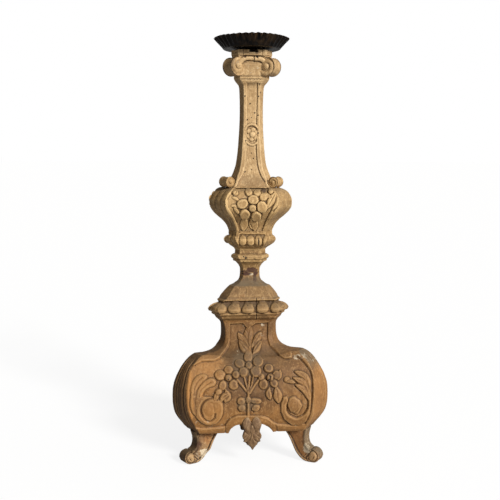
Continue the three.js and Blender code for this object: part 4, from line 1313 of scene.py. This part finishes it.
def paint_shaft(a, p, h):
    flush(a, p, 452.3)
    # painted shade on the front left and rear corners, away from the lamp
    a["tint"] = front_tint(SHAFT_R, p) - 0.34 * canted_corner_mask(p, SHAFT) - 0.2 * canted_corner_mask(p, SHAFT, 180)
    d = np.zeros(p.shape[:2])
    for x, z in HOLES:
        d = np.maximum(d, 0.9 * spot(p, x, z, 1.0, 1.4, rag=0.2, seed=81, size=1.5))
    for x, z in [(-7, 629.3), (-3, 629.8), (4, 629.4), (9, 629.8), (14, 629.3)]:
        d = np.maximum(d, 0.7 * spot(p, x, z, 1.2, 0.7, rag=0.2, seed=82, size=1.5))
    a["dark"] = d
    a["gesso"] = 0.35 * spot(p, -12, 618, 3, 9, seed=83, size=3)
    a["dust"] = 0.25 * spot(p, 2, 465, 22, 9, seed=84, size=5)


ring_piece("shaft_carved", SHAFT, 0.8, 50, 22, STEM_WOOD, ["shaft"], relief_of(SHAFT_R), paint_shaft, rough=0.16, seed=10, worn=lambda a, z: np.full(z.shape, 1.6))

CAPITAL = Profile([[634, 20.1, 29.9], [645, 20.5, 30], [655, 21.5, 31.5], [667.7, 22.5, 33.5]])
CAPITAL_R = capital_relief()


def paint_capital(a, p, h):
    a["tint"] = front_tint(CAPITAL_R, p, 0.8)
    a["gesso"] = 0.40 * spot(p, -1, 646, 16, 7, seed=91, size=2) + 0.3 * spot(p, 0, 638, 16, 2, seed=92, size=2)
    a["dark"] = 1.0 * spot(p, 7.8, 665.3, 2.2, 1.7, rag=0.3, seed=94, size=2) + 0.9 * np.exp(-((p[..., 0] - 2.8) / 0.7) ** 2) * (p[..., 2] > 657) * (p[..., 1] < 0)
    a["stain"] = 0.9 * spot(p, -12, 665.5, 2.4, 1.8, seed=95, size=2)


ring_piece("capital_carved", CAPITAL, 0.55, 76, 36, STEM_WOOD, ["capital"], relief_of(CAPITAL_R), paint_capital, rough=0.2, seed=12)

ABACUS = Profile([[668, 21.8, 33.2], [669.2, 22.9, 34.3], [675.8, 23.1, 34.3], [677, 22.6, 33.7]])


def abacus_relief(cols, along, z):
    head, isf, u = cols
    h = np.zeros(z.shape)
    chip = smooth(673.2, 674.4, z) * smooth(-5, -4.2, along) * (1 - smooth(9, 9.8, along))
    h -= 5.0 * chip * ((head == 0) & isf)[None, :]
    for x in (-15, 16):
        h -= 0.8 * np.exp(-((along - x) / 0.7) ** 2) * ((head == 0) & isf)[None, :]
    return h


def paint_abacus(a, p, h):
    x, y, z = p[..., 0], p[..., 1], p[..., 2]
    # painted shadow: the chip in the abacus under the pan is filled with near-black
    a["dark"] = 1.0 * ((x > -5) & (x < 9.6) & (z > 673) & (y < 0)) + 0.5 * spot(p, 7, 672, 3, 2, seed=101, size=2)
    a["stain"] = 0.5 * spot(p, 8, 673, 3, 3, seed=102, size=2)
    a["tint"] = -0.25 * np.ones(x.shape) * (y < 0)


ring_piece("abacus_carved", ABACUS, 0.5, 84, 40, STEM_WOOD, ["abacus"], abacus_relief, paint_abacus, rough=0.15, seed=14, worn=lambda a, z: np.full(z.shape, 3.0))


# ------------------------------------------------------------------ rolls: capital volutes and shoulder scrolls
def roll(name, heading, at, z0, r, length, material, node, turns=1.6, paint=None, waist=0.12, seed=0):
    """A rolled-up scroll across a canted corner. Its ends show the spiral."""
    o, t = o_dir(heading), t_dir(heading)
    na, nt, nr = 120, 34, 20
    ang = np.linspace(0, 2 * math.pi, na, endpoint=False)
    # radius falls a little over one turn, so the loose edge stands proud
    def radius(a):
        start = math.radians(200)
        k = ((a - start) % (2 * math.pi)) / (2 * math.pi)
        return r * (1.0 - 0.10 * k * smooth(0, 0.04, k))

    rows, at_attr = [], []
    # end 1 (towards -t), side, end 2
    def cap_height(a, s):
        # a spiral fillet that winds in to the eye
        ph = (a / (2 * math.pi) + turns * s) % 1.0
        ridge = 0.5 - 0.5 * np.cos(2 * np.pi * ph)
        k = smooth(0.24, 0.36, s) * (1 - smooth(0.93, 1.0, s))
        eye = 1.9 * np.sqrt(np.clip(1 - (s / 0.30) ** 2, 0, 1))
        return (-1.9 * (ridge**1.6) * k + eye * 0.9) * (r / 16.0) ** 0.7

    def ring_at(s, tt, dh, inward):
        rad = radius(ang) * s
        x = at + rad * np.cos(ang)
        zz = z0 + rad * np.sin(ang)
        return o[None, :] * x[:, None] + t[None, :] * (tt + inward * dh)[:, None] + np.array([0, 0, 1.0])[None, :] * zz[:, None]

    half = length / 2
    s_in = np.linspace(0.04, 1.0, nr)
    for s in s_in:
        dh = cap_height(ang, np.full(na, s)) - 1.6 * s**6
        rows.append(ring_at(s, np.full(na, -half), dh, -1))
    ts = np.linspace(-1, 1, nt)
    for k in ts[1:-1]:
        w = 1 - waist * (1 - abs(k) ** 2.2) - 0.03 * np.exp(-(((abs(k) - 0.72) / 0.07) ** 2))
        rad = radius(ang) * w
        x = at + rad * np.cos(ang)
        zz = z0 + rad * np.sin(ang)
        rows.append(o[None, :] * x[:, None] + t[None, :] * (half * k) + np.array([0, 0, 1.0])[None, :] * zz[:, None])
    for s in s_in[::-1]:
        dh = cap_height(-ang, np.full(na, s)) - 1.6 * s**6
        rows.append(ring_at(s, np.full(na, half), dh, 1))
    p = np.array(rows)
    n = -normals(p, True)
    p = p + n * (0.18 * fbm(p, 6, 3, seed))[..., None] * 0.9
    cav, cav2 = cavities(p, True, 0.9, 3.5)
    cav, cav2 = -cav, -cav2
    a = {"cav": cav, "cav2": cav2}
    if paint is not None:
        paint(a, p, None)
    NR, NC = p.shape[:2]
    v = p.reshape(-1, 3)
    v = np.vstack([v, v[:NC].mean(0) - t * 0.3, v[-NC:].mean(0) + t * 0.3])
    j = np.arange(NC)
    k = (j + 1) % NC
    # which way round the grid faces out
    quads = grid_faces(NR, NC, True)
    mid = NR // 2 * NC
    e1, e2 = v[mid + 1] - v[mid], v[mid + NC] - v[mid]
    out = np.dot(np.cross(e1, e2), v[mid] - (o * at + np.array([0, 0, z0]))) > 0
    cap1 = np.stack([np.full(NC, NR * NC), k, j], 1)
    cap2 = np.stack([np.full(NC, NR * NC + 1), (NR - 1) * NC + j, (NR - 1) * NC + k], 1)
    faces = [quads, cap1, cap2]
    if not out:
        faces = [f[:, ::-1] for f in faces]
    attrs = {key: np.concatenate([np.asarray(val).ravel(), [0, 0]]) for key, val in a.items()}
    return make(name, v, faces, material, "candlestick", [node], attrs, sharp=62)


def paint_volute_left(a, p, h):
    x = p[..., 0]
    a["gesso"] = 0.42 * spot(p, -26, 656, 5, 6, seed=112, size=2) + 0.38 * spot(p, -12, 650, 4, 4, seed=113, size=2)
    # painted shade: the volute's outer left side, away from the lamp, is darkened
    a["tint"] = -0.5 * (1 - smooth(-32, -27, x + 0.8 * vnoise(p, (3, 3, 3), 114)))


CORNERS = [("front_right", 60), ("rear", 180), ("front_left", 300)]
for cname, hd in CORNERS:
    roll("volute_" + cname, hd, 33.0, 650.5, 16.2, 28, STEM_WOOD, "capital_volute_" + cname,
         paint=paint_volute_left if hd == 300 else None, seed=20 + hd)
    roll("scroll_" + cname, hd, 46.6, 461.6, 9.5, 24, KNOP_WOOD, "shoulder_scroll_" + cname, turns=1.2, waist=0.1, seed=24 + hd)


# ------------------------------------------------------------------ feet
def foot(name, heading, node, paint=None, seed=0, spread=0.0):
    """A scroll foot: a leg that narrows and sweeps out to a rolled toe. u is the distance from the axis."""
    inner = spline([(54, 49.7), (62, 47.3), (70.5, 43), (78, 34), (84, 23), (89.5, 12), (96, 3.3), (103, -2.2), (110, -4.8), (119, -5), (126, -4.5), (131, -1.6), (133.3, 3.4)], 96)
    outer = spline([(113.4, 49.7), (112.4, 46.5), (110.9, 41.5), (109.8, 35), (110.2, 28), (112, 22.7), (115.2, 19.2), (119, 17.6), (123.2, 17.6), (127.8, 16.2), (131.4, 13.0), (133.4, 9.0), (133.7, 5.6)], 96)
    inner[:, 0] -= spread * smooth(6, 16, inner[:, 1]) * (1 - smooth(44, 49.5, inner[:, 1]))
    n = len(inner)
    m = 96
    a = np.linspace(0, 2 * math.pi, m, endpoint=False)
    # a square section with soft corners, in (across the side outline, along the tangent)
    e = 0.34
    cs, sn = np.cos(a), np.sin(a)
    sx = np.sign(cs) * np.abs(cs) ** e
    sy = np.sign(sn) * np.abs(sn) ** e
    s = np.linspace(0, 1, n)
    half = 12.0 + 0.9 * smooth(0.7, 0.9, s) - 0.5 * np.sin(np.pi * np.clip(s / 0.7, 0, 1))
    o, t = o_dir(heading), t_dir(heading)
    mid = (inner + outer) / 2
    across = (outer - inner) / 2
    p = np.zeros((n, m, 3))
    uu = mid[:, 0][:, None] + across[:, 0][:, None] * sx[None, :]
    zz = mid[:, 1][:, None] + across[:, 1][:, None] * sx[None, :]
    tt = half[:, None] * sy[None, :]
    # side faces: a ridge along both edges and a hollow between them; spiral on the toe
    side = smooth(0.75, 0.98, np.abs(sy))[None, :]
    w = np.linalg.norm(across, axis=1)[:, None]
    d_in, d_out = (1 + sx)[None, :] * w, (1 - sx)[None, :] * w
    leg = (1 - smooth(0.66, 0.74, s))[:, None] * smooth(0.0, 0.05, s)[:, None]
    # a bead runs down the inner edge, and the face beside it is hollowed
    dip = -(2.6 * smooth(4.4, 5.8, d_in) * (0.3 + 0.7 * smooth(0.5, 7, d_out)) + 0.9 * np.exp(-((d_in - 5.6) / 0.8) ** 2)) * leg * side
    cu, cz, R = 122.4, 6.2, 10.9
    rr = np.hypot(uu - cu, zz - cz)
    th = np.arctan2(zz - cz, uu - cu)
    ph = (th / (2 * np.pi) - 0.25 + 1.35 * rr / R) % 1.0
    curl = -1.6 * np.exp(-((np.minimum(ph, 1 - ph)) / 0.13) ** 2) * (rr < 7.6) * (rr > 2.4) + 1.0 * np.sqrt(np.clip(1 - (rr / 3.4) ** 2, 0, 1)) - 2.2 * smooth(7.4, 8.6, rr) * (uu > cu - 3) - 1.5 * np.exp(-((rr - 8.2) / 0.9) ** 2)
    toe = smooth(0.62, 0.70, s)[:, None]
    rim = -1.6 * np.exp(-((rr - R * 1.06) / 1.1) ** 2) * (uu < cu + 2) * toe
    tt = tt + np.sign(sy)[None, :] * (dip + side * (curl * toe + rim))
    p = o[None, None, :] * uu[..., None] + t[None, None, :] * tt[..., None] + np.array([0, 0, 1.0]) * zz[..., None]
    nr = normals(p, True)
    centre = o[None, None, :] * mid[:, 0][:, None, None] + np.array([0, 0, 1.0]) * mid[:, 1][:, None, None]
    sign = np.sign(np.einsum("ijk,ijk->ij", nr, p - centre).mean())
    nr = nr * sign
    # the notch between the leg and its toe, and hand-cut unevenness
    notch = -1.4 * np.exp(-(((s - 0.635) / 0.018) ** 2))[:, None] * (sx > 0.8)[None, :]
    hand = 0.35 * fbm(p, 9, 3, seed + 1)
    hand = hand * smooth(-4.6, -2.5, p[..., 2]) * smooth(0, 3, 49.7 - p[..., 2])
    p = p + nr * (notch + hand)[..., None]
    p[..., 2] = np.clip(p[..., 2], -5.0, 49.75)
    cav, cav2 = cavities(p, True, 1.1, 4.5)
    at = {"cav": cav * sign, "cav2": cav2 * sign}
    if paint is not None:
        paint(at, p, None)
    v = p.reshape(-1, 3)
    v = np.vstack([v, v[:m].mean(0), v[-m:].mean(0)])
    j = np.arange(m)
    k = (j + 1) % m
    quads = grid_faces(n, m, True)
    c1 = np.stack([np.full(m, n * m), k, j], 1)
    c2 = np.stack([np.full(m, n * m + 1), (n - 1) * m + j, (n - 1) * m + k], 1)
    faces = [quads, c1, c2]
    if sign < 0:
        faces = [f[:, ::-1] for f in faces]
    attrs = {key: np.concatenate([np.asarray(val).ravel(), [0, 0]]) for key, val in at.items()}
    return make(name, v, faces, FOOT_WOOD, "candlestick", [node], attrs, sharp=60)


def foot_parts(p, heading):
    """The outer face, the bead down the inner edge and the hollow of a foot's front side."""
    u = np.einsum("ijk,k->ij", p, o_dir(heading))
    t = np.einsum("ijk,k->ij", p, t_dir(heading)) * (1 if heading == 300 else -1)
    z = p[..., 2]
    outer = smooth(-1.5, 1.0, u - np.interp(z, [-5, 10, 17, 24, 35, 50], [112, 112, 108, 107.5, 106, 108]))
    outer = outer * (1 - 0.75 * smooth(8, 11.5, t) * (z < 16))
    inner = np.interp(z, [-5, 3.3, 12, 23, 34, 43, 47.3, 49.7], [100, 96, 89.5, 84, 78, 70.5, 62, 54])
    bead = smooth(9, 11, t) * (1 - smooth(4.5, 6.5, u - inner))
    line = smooth(9, 11, t) * np.exp(-((u - inner - 6.2) / 0.9) ** 2) * (z < 46)
    return outer, bead, line


def paint_foot_left(a, p, h):
    outer, bead, line = foot_parts(p, 300)
    # painted shade: the foot's outer face, turned away from the lamp, is darkened
    a["tint"] = 0.15 * spot(p, -82, 38, 18, 10, seed=123, size=6) * (1 - outer) - 0.8 * outer
    a["gesso"] = 0.44 * spot(p, -84, 8, 13, 10, seed=121, size=3) + 0.34 * spot(p, -80, 22, 8, 16, seed=122, size=3) + 0.4 * line
    a["stain"] = 0.45 * spot(p, -88, 24, 6, 10, seed=125, size=3) + 0.3 * bead * (p[..., 2] < 30)


def paint_foot_right(a, p, h):
    outer, bead, line = foot_parts(p, 60)
    a["gesso"] = 0.42 * outer + 0.62 * line + 0.40 * spot(p, 90, 16, 8, 9, seed=132, size=3)
    a["stain"] = 0.34 * spot(p, 80, 33, 7, 11, seed=134, size=3) * (1 - outer) + 0.2 * bead
    a["dust"] = 0.75 * outer
    # painted light: the front side of this foot is made lighter
    a["tint"] = 0.50 * (1 - outer) * (1 - bead)


foot("foot_front_left_leg", 300, "foot_front_left", paint_foot_left, 31, 4.5)
foot("foot_front_right_leg", 60, "foot_front_right", paint_foot_right, 33)
foot("foot_rear_leg", 180, "foot_rear", None, 35)


# ------------------------------------------------------------------ pendant leaves
def pendant(name, heading, node, seed=0):
    pts = [(0.5, 83.5), (-5, 83.3), (-11.2, 80), (-15.6, 73), (-16.6, 65.6), (-14.2, 58.5), (-13.2, 53.5), (-15.9, 49), (-15.6, 43.5), (-13.2, 39.8), (-14.4, 36),
           (-9.6, 31.6), (-7.6, 27.9), (-2.8, 25.8), (0.8, 20.5), (4.4, 25.6), (8.8, 27.8), (10.2, 31.6), (14.2, 35.6), (13.2, 39.8), (15.3, 43.6), (15.4, 49),
           (13.0, 53.5), (14.2, 58.5), (16.2, 65.6), (15.4, 73), (11.4, 80), (6, 83.3)]
    ol = spline(np.vstack([pts, pts[:1]]), 145)[:-1]
    ol = np.flipud(ol) if np.sum(ol[:, 0] * np.roll(ol[:, 1], -1) - np.roll(ol[:, 0], -1) * ol[:, 1]) < 0 else ol
    c = np.array([0.0, 54.0])
    rr = np.linspace(1, 0.0, 34)[:-1]
    lobe = Relief(-20, 20, 16, 88, 0.3, level=-2.0)
    lobe.leaf([(0.5, 56), (0.6, 40), (1.2, 19.5)], 9.0, 0, 4.6, 0.9, 1.4, peak=0.42)
    lobe.leaf([(-3, 53), (-9, 44), (-14.5, 36)], 6.6, 0, 3.4, 0.7, 1.0, peak=0.5)
    lobe.leaf([(3, 53), (9, 44), (14.5, 36)], 6.6, 0, 3.4, 0.7, 1.0, peak=0.5)
    lobe.leaf([(-4, 55), (-11, 52), (-15.8, 46)], 4.6, 0, 2.6, 0.4, 0.9)
    lobe.leaf([(4, 55), (11, 52), (15.6, 46)], 4.6, 0, 2.6, 0.4, 0.9)
    lobe.dome(-8.0, 67, 7.4, 14.6, 8, 0, 4.6, 0.35, 1.4)
    lobe.dome(7.4, 68.5, 8.4, 12.4, -6, 0, 4.8, 0.35, 1.4)
    lobe.cut([(-0.6, 82), (-0.4, 60)], 0.9, 1.6)
    lobe.leaf([(0, 66), (0.5, 58), (1, 50)], 4.0, 0, 4.2, 0.3, 0.8)
    lobe.finish(0.35)
    front_r = lambda z: 86.5 - 0.10 * np.abs(z - 62) - 7.0 * smooth(50, 22, z)
    xy = c[None, None, :] + (ol[None, :, :] - c) * (rr ** 0.8)[:, None, None]
    x, z = xy[..., 0], xy[..., 1]
    depth = front_r(z) + lobe.at(lobe.H, x, z) - 2.6 * smooth(0.86, 1.0, rr)[:, None]
    P = [np.stack([x, -depth, z], -1)]
    # sides go back to the arch
    side = []
    for k in (0.35, 0.7, 1.0):
        d = depth[0] * (1 - k) + 70.5 * k
        side.append(np.stack([ol[:, 0] * (1 - 0.12 * k), -d, ol[:, 1]], -1))
    grid = np.vstack([np.array(side)[::-1], P[0]])
    grid = grid.reshape(-1, len(ol), 3)
    nrm = normals(grid, True)
    if np.einsum("ijk,k->ij", nrm[6:20], np.array([0, -1.0, 0])).mean() < 0:
        nrm = -nrm
        flip = True
    else:
        flip = False
    grid = grid + nrm * (0.2 * fbm(grid, 5, 2, seed))[..., None]
    cav, cav2 = cavities(grid, True, 0.9, 3.0)
    if flip:
        cav, cav2 = -cav, -cav2
    NR, NC = grid.shape[:2]
    v = grid.reshape(-1, 3)
    v = np.vstack([v, grid[-1].mean(0), grid[0].mean(0)])
    v = turn(v, heading)
    j = np.arange(NC)
    k = (j + 1) % NC
    q = grid_faces(NR, NC, True)
    c1 = np.stack([np.full(NC, NR * NC), (NR - 1) * NC + j, (NR - 1) * NC + k], 1)
    c2 = np.stack([np.full(NC, NR * NC + 1), k, j], 1)
    faces = [q, c1, c2]
    if flip:
        faces = [f[:, ::-1] for f in faces]
    attrs = {"cav": np.concatenate([cav.ravel(), [0, 0]]), "cav2": np.concatenate([cav2.ravel(), [0, 0]])}
    return make(name, v, faces, LEAF_WOOD, "candlestick", [node], attrs, sharp=65)


for fname, hd in (("front", 0), ("right", 120), ("left", 240)):
    pendant("leaf_" + fname, hd, "pendant_" + fname, seed=40 + hd)


# ------------------------------------------------------------------ ironwork
def revolve(name, rows, seg, material, body, nodes, closed=False, centre=(0.0, 0.0), flute=None, wob=0.0, seed=0, sharp=40, tip=0.0, up=0.0):
    """rows: (radius, z, flute weight). closed joins the last row to the first."""
    rows = np.array(rows, float)
    a = np.linspace(0, 2 * math.pi, seg, endpoint=False)
    r = rows[:, 0][:, None] + np.zeros(seg)[None, :]
    z = rows[:, 1][:, None] + np.zeros(seg)[None, :]
    if flute is not None:
        dr, dz = flute(a, rows)
        r, z = r + dr, z + dz
    p = np.stack([centre[0] + r * np.sin(a), centre[1] - r * np.cos(a), z], -1)
    if wob:
        q = fbm(p, 14, 2, seed) * wob
        p[..., 0] += q * np.sin(a)
        p[..., 1] -= q * np.cos(a)
        p[..., 2] += 0.6 * wob * fbm(p, 12, 2, seed + 3)
    p[..., 2] += up - p[..., 1] * math.tan(math.radians(tip))  # it sits a little askew
    nr = len(rows)
    cav, cav2 = cavities(p, True, 0.8, 3.0)
    a1 = {"cav": cav, "cav2": cav2}
    if flute is not None:
        # painted reflection: brown patches at the front of the pan stand in for glints there
        worn = np.exp(-(((np.degrees(a) + 180) % 360 - 180 - 12) / 34) ** 2)[None, :] * np.clip(rows[:, 2], 0, 1)[:, None]
        a1["tint"] = worn * np.clip(0.28 + 1.3 * fbm(p * np.array([1, 1, 0.25]), 5, 3, 55), 0, 0.85)
    v = p.reshape(-1, 3)
    if closed:
        i = np.arange(nr)[:, None]
        j = np.arange(seg)[None, :]
        b = ((i + 1) % nr) * seg
        faces = [np.stack([i * seg + j, i * seg + (j + 1) % seg, b + (j + 1) % seg, b + j], -1).reshape(-1, 4)]
        extra = 0
    else:
        v = np.vstack([v, p[0].mean(0), p[-1].mean(0)])
        j = np.arange(seg)
        k = (j + 1) % seg
        faces = [grid_faces(nr, seg, True), np.stack([np.full(seg, nr * seg), k, j], 1), np.stack([np.full(seg, nr * seg + 1), (nr - 1) * seg + j, (nr - 1) * seg + k], 1)]
        extra = 2
    attrs = {key: np.concatenate([val.ravel(), np.zeros(extra)]) for key, val in a1.items()}
    return make(name, v, faces, material, body, nodes, attrs, sharp=sharp)


PZ = 678.8


def pan_rows():
    wall = 1.1
    out = []  # from the hole, out along the underside, up the wall, over the lip and back down inside
    for r in (7.5, 12, 20, 28, 36, 42, 45.2):
        out.append((r, PZ, 0))
    for k in range(1, 6):
        a = math.radians(90 * k / 6)
        out.append((45.2 + 3.2 * math.sin(a) * 1.0, PZ + 3.2 * (1 - math.cos(a)), 0.05 * k))
    n = 16
    for k in range(n + 1):
        t = k / n
        out.append((48.6 + (60.9 - 48.6) * t, PZ + 2.9 + (17.7 - 2.9) * t, 0.3 + 0.7 * t))
    out.append((61.0, PZ + 18.1, 1.0))
    out.append((60.5, PZ + 18.2, 1.0))
    out.append((59.9, PZ + 17.7, 1.0))
    for k in range(n + 1):
        t = 1 - k / n
        out.append((47.3 + (59.6 - 47.3) * t, PZ + 3.4 + (17.3 - 3.4) * t, 0.3 + 0.7 * t))
    for r in (46.2, 44.4, 42, 36, 28, 20, 12, 7.5):
        out.append((r, PZ + wall + (0.9 if r > 46 else 0.2 if r > 44 else 0), 0))
    return out


def pan_flute(a, rows):
    k = rows[:, 2][:, None]
    ph = 36 * a[None, :] + 0.35 * np.sin(3 * a)[None, :]
    wave = np.sign(np.sin(ph)) * np.abs(np.sin(ph)) ** 0.8
    irregular = 1 + 0.18 * np.sin(5 * a + 1)[None, :] + 0.1 * np.sin(11 * a)[None, :]
    dr = 2.1 * k * wave * irregular
    dz = -0.85 * k ** 3 * wave * irregular + 0.25 * k * np.sin(4 * a + 0.6)[None, :]
    return dr, dz


revolve("pan", pan_rows(), 432, BLACK_IRON, "pan", ["drip_pan"], closed=True, flute=pan_flute, wob=0.3, seed=5, sharp=75, tip=2.2, up=0.62)
revolve("pricket_spike", [(5.2, 678.9, 0), (6.1, 679.1, 0), (6.4, 679.6, 0), (6.4, 681.2, 0), (6.0, 681.8, 0), (4.6, 682.0, 0), (3.7, 682.6, 0), (3.45, 686, 0), (3.1, 690, 0), (2.5, 694, 0),
                          (1.7, 698, 0), (0.9, 701, 0), (0.35, 702.2, 0)], 40, RUST_IRON, "candlestick", ["pricket"], wob=0.12, seed=7)
revolve("plate", [(15.8, 677.32, 0), (16.8, 677.5, 0), (17.0, 677.9, 0), (16.8, 678.3, 0), (16.0, 678.5, 0), (12, 678.5, 0), (7, 678.5, 0)], 64, RUST_IRON, "candlestick", ["pricket_plate"], wob=0.05, seed=9)

# the hidden fasteners and dowels keep their turned shapes
for nname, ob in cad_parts.items():
    if nname.startswith("plate_nail"):
        ob.data.materials.clear()
        ob.data.materials.append(RUST_IRON)
    elif "dowel" in nname:
        ob.data.materials.clear()
        ob.data.materials.append(DOWEL_WOOD)

# ------------------------------------------------------------------ floor, light, camera
scene = bpy.context.scene
fm = bpy.data.meshes.new("floor")
S = 40.0
fm.from_pydata([(-S, -S, 0), (S, -S, 0), (S, S, 0), (-S, S, 0)], [], [(0, 1, 2, 3)])
floor = bpy.data.objects.new("floor", fm)
scene.collection.objects.link(floor)
fmat = bpy.data.materials.new("floor_paper")
fmat.use_nodes = True
ft = fmat.node_tree
ft.nodes.clear()
f_out = ft.nodes.new("ShaderNodeOutputMaterial")
f_seen, f_bounce = ft.nodes.new("ShaderNodeBsdfDiffuse"), ft.nodes.new("ShaderNodeBsdfDiffuse")
f_seen.inputs[0].default_value = (0.97, 0.97, 0.97, 1)
f_bounce.inputs[0].default_value = (0.52, 0.52, 0.52, 1)
f_glow_strength = 1.04
f_glow, f_path = ft.nodes.new("ShaderNodeEmission"), ft.nodes.new("ShaderNodeLightPath")
f_glow.inputs[1].default_value = f_glow_strength
f_soft, f_mix = ft.nodes.new("ShaderNodeMixShader"), ft.nodes.new("ShaderNodeMixShader")
f_soft.inputs[0].default_value = 0.82
ft.links.new(f_seen.outputs[0], f_soft.inputs[1])
ft.links.new(f_glow.outputs[0], f_soft.inputs[2])
ft.links.new(f_path.outputs["Is Camera Ray"], f_mix.inputs[0])
ft.links.new(f_bounce.outputs[0], f_mix.inputs[1])
ft.links.new(f_soft.outputs[0], f_mix.inputs[2])
ft.links.new(f_mix.outputs[0], f_out.inputs[0])
fm.materials.append(fmat)
floor.location.z = -0.0002

world = bpy.data.worlds.new("studio")
scene.world = world
world.use_nodes = True
wt = world.node_tree
wt.nodes.clear()
wo = wt.nodes.new("ShaderNodeOutputWorld")
bg = wt.nodes.new("ShaderNodeBackground")
tc = wt.nodes.new("ShaderNodeTexCoord")
sx = wt.nodes.new("ShaderNodeSeparateXYZ")
wt.links.new(tc.outputs["Generated"], sx.inputs[0])


def world_ramp(sock, lo, hi, a, b):
    n = wt.nodes.new("ShaderNodeMapRange")
    n.interpolation_type = "SMOOTHSTEP"
    wt.links.new(sock, n.inputs[0])
    for i, v in zip((1, 2, 3, 4), (lo, hi, a, b)):
        n.inputs[i].default_value = v
    return n.outputs[0]


# a soft box to the right, a dim room to the left, a white backdrop
w_add = wt.nodes.new("ShaderNodeMath")
w_add.operation = "ADD"
wt.links.new(world_ramp(sx.outputs[0], -0.45, 0.85, 0.03, 0.55), w_add.inputs[0])
wt.links.new(world_ramp(sx.outputs[1], -0.2, -1.0, 0.0, 0.34), w_add.inputs[1])
w_path, w_mix = wt.nodes.new("ShaderNodeLightPath"), wt.nodes.new("ShaderNodeMix")
wt.links.new(w_path.outputs["Is Camera Ray"], w_mix.inputs[0])
wt.links.new(w_add.outputs[0], w_mix.inputs[2])
w_mix.inputs[3].default_value = 1.0
wt.links.new(w_mix.outputs[0], bg.inputs["Color"])
bg.inputs["Strength"].default_value = 1.0
wt.links.new(bg.outputs[0], wo.inputs[0])


def sun(name, azimuth, elevation, energy, angle, colour=(1, 1, 1)):
    """azimuth is degrees to the right of the front, as seen from the camera."""
    li = bpy.data.lights.new(name, "SUN")
    li.energy, li.angle, li.color = energy, math.radians(angle), colour
    ob = bpy.data.objects.new(name, li)
    a, e = math.radians(azimuth), math.radians(elevation)
    d = Vector((math.sin(a) * math.cos(e), -math.cos(a) * math.cos(e), math.sin(e)))
    ob.rotation_mode = "QUATERNION"
    ob.rotation_quaternion = d.to_track_quat("Z", "Y")
    scene.collection.objects.link(ob)
    return ob


sun("key", 34, 27, 3.75, 16, (1.0, 0.985, 0.955))

cam_data = bpy.data.cameras.new("camera")
cam = bpy.data.objects.new("camera", cam_data)
scene.collection.objects.link(cam)
scene.camera = cam
cam_data.sensor_width = 36.0
cam_data.lens = 64.8
cam_data.clip_end = 200
az, pitch, dist = math.radians(-3.0), math.atan(100 / 900), 1530.0
back = Vector((math.sin(az) * math.cos(pitch), -math.cos(az) * math.cos(pitch), math.sin(pitch)))
target = Vector((0, AXIS_Y, 345.1 + LIFT)) / 1000
rot = (-back).to_track_quat("-Z", "Y").to_matrix()
right = rot @ Vector((1, 0, 0))
cam.rotation_mode = "QUATERNION"
cam.location = target + back * (dist / 1000) - right * (0.65 * 1.7 / 1000)
rot = rot @ Matrix.Rotation(math.radians(0.26), 3, "Z")
cam.rotation_quaternion = rot.to_quaternion()

scene.view_settings.view_transform = "Standard"
scene.view_settings.look = "None"
scene.view_settings.exposure = 0.0
scene.view_settings.gamma = 1.0
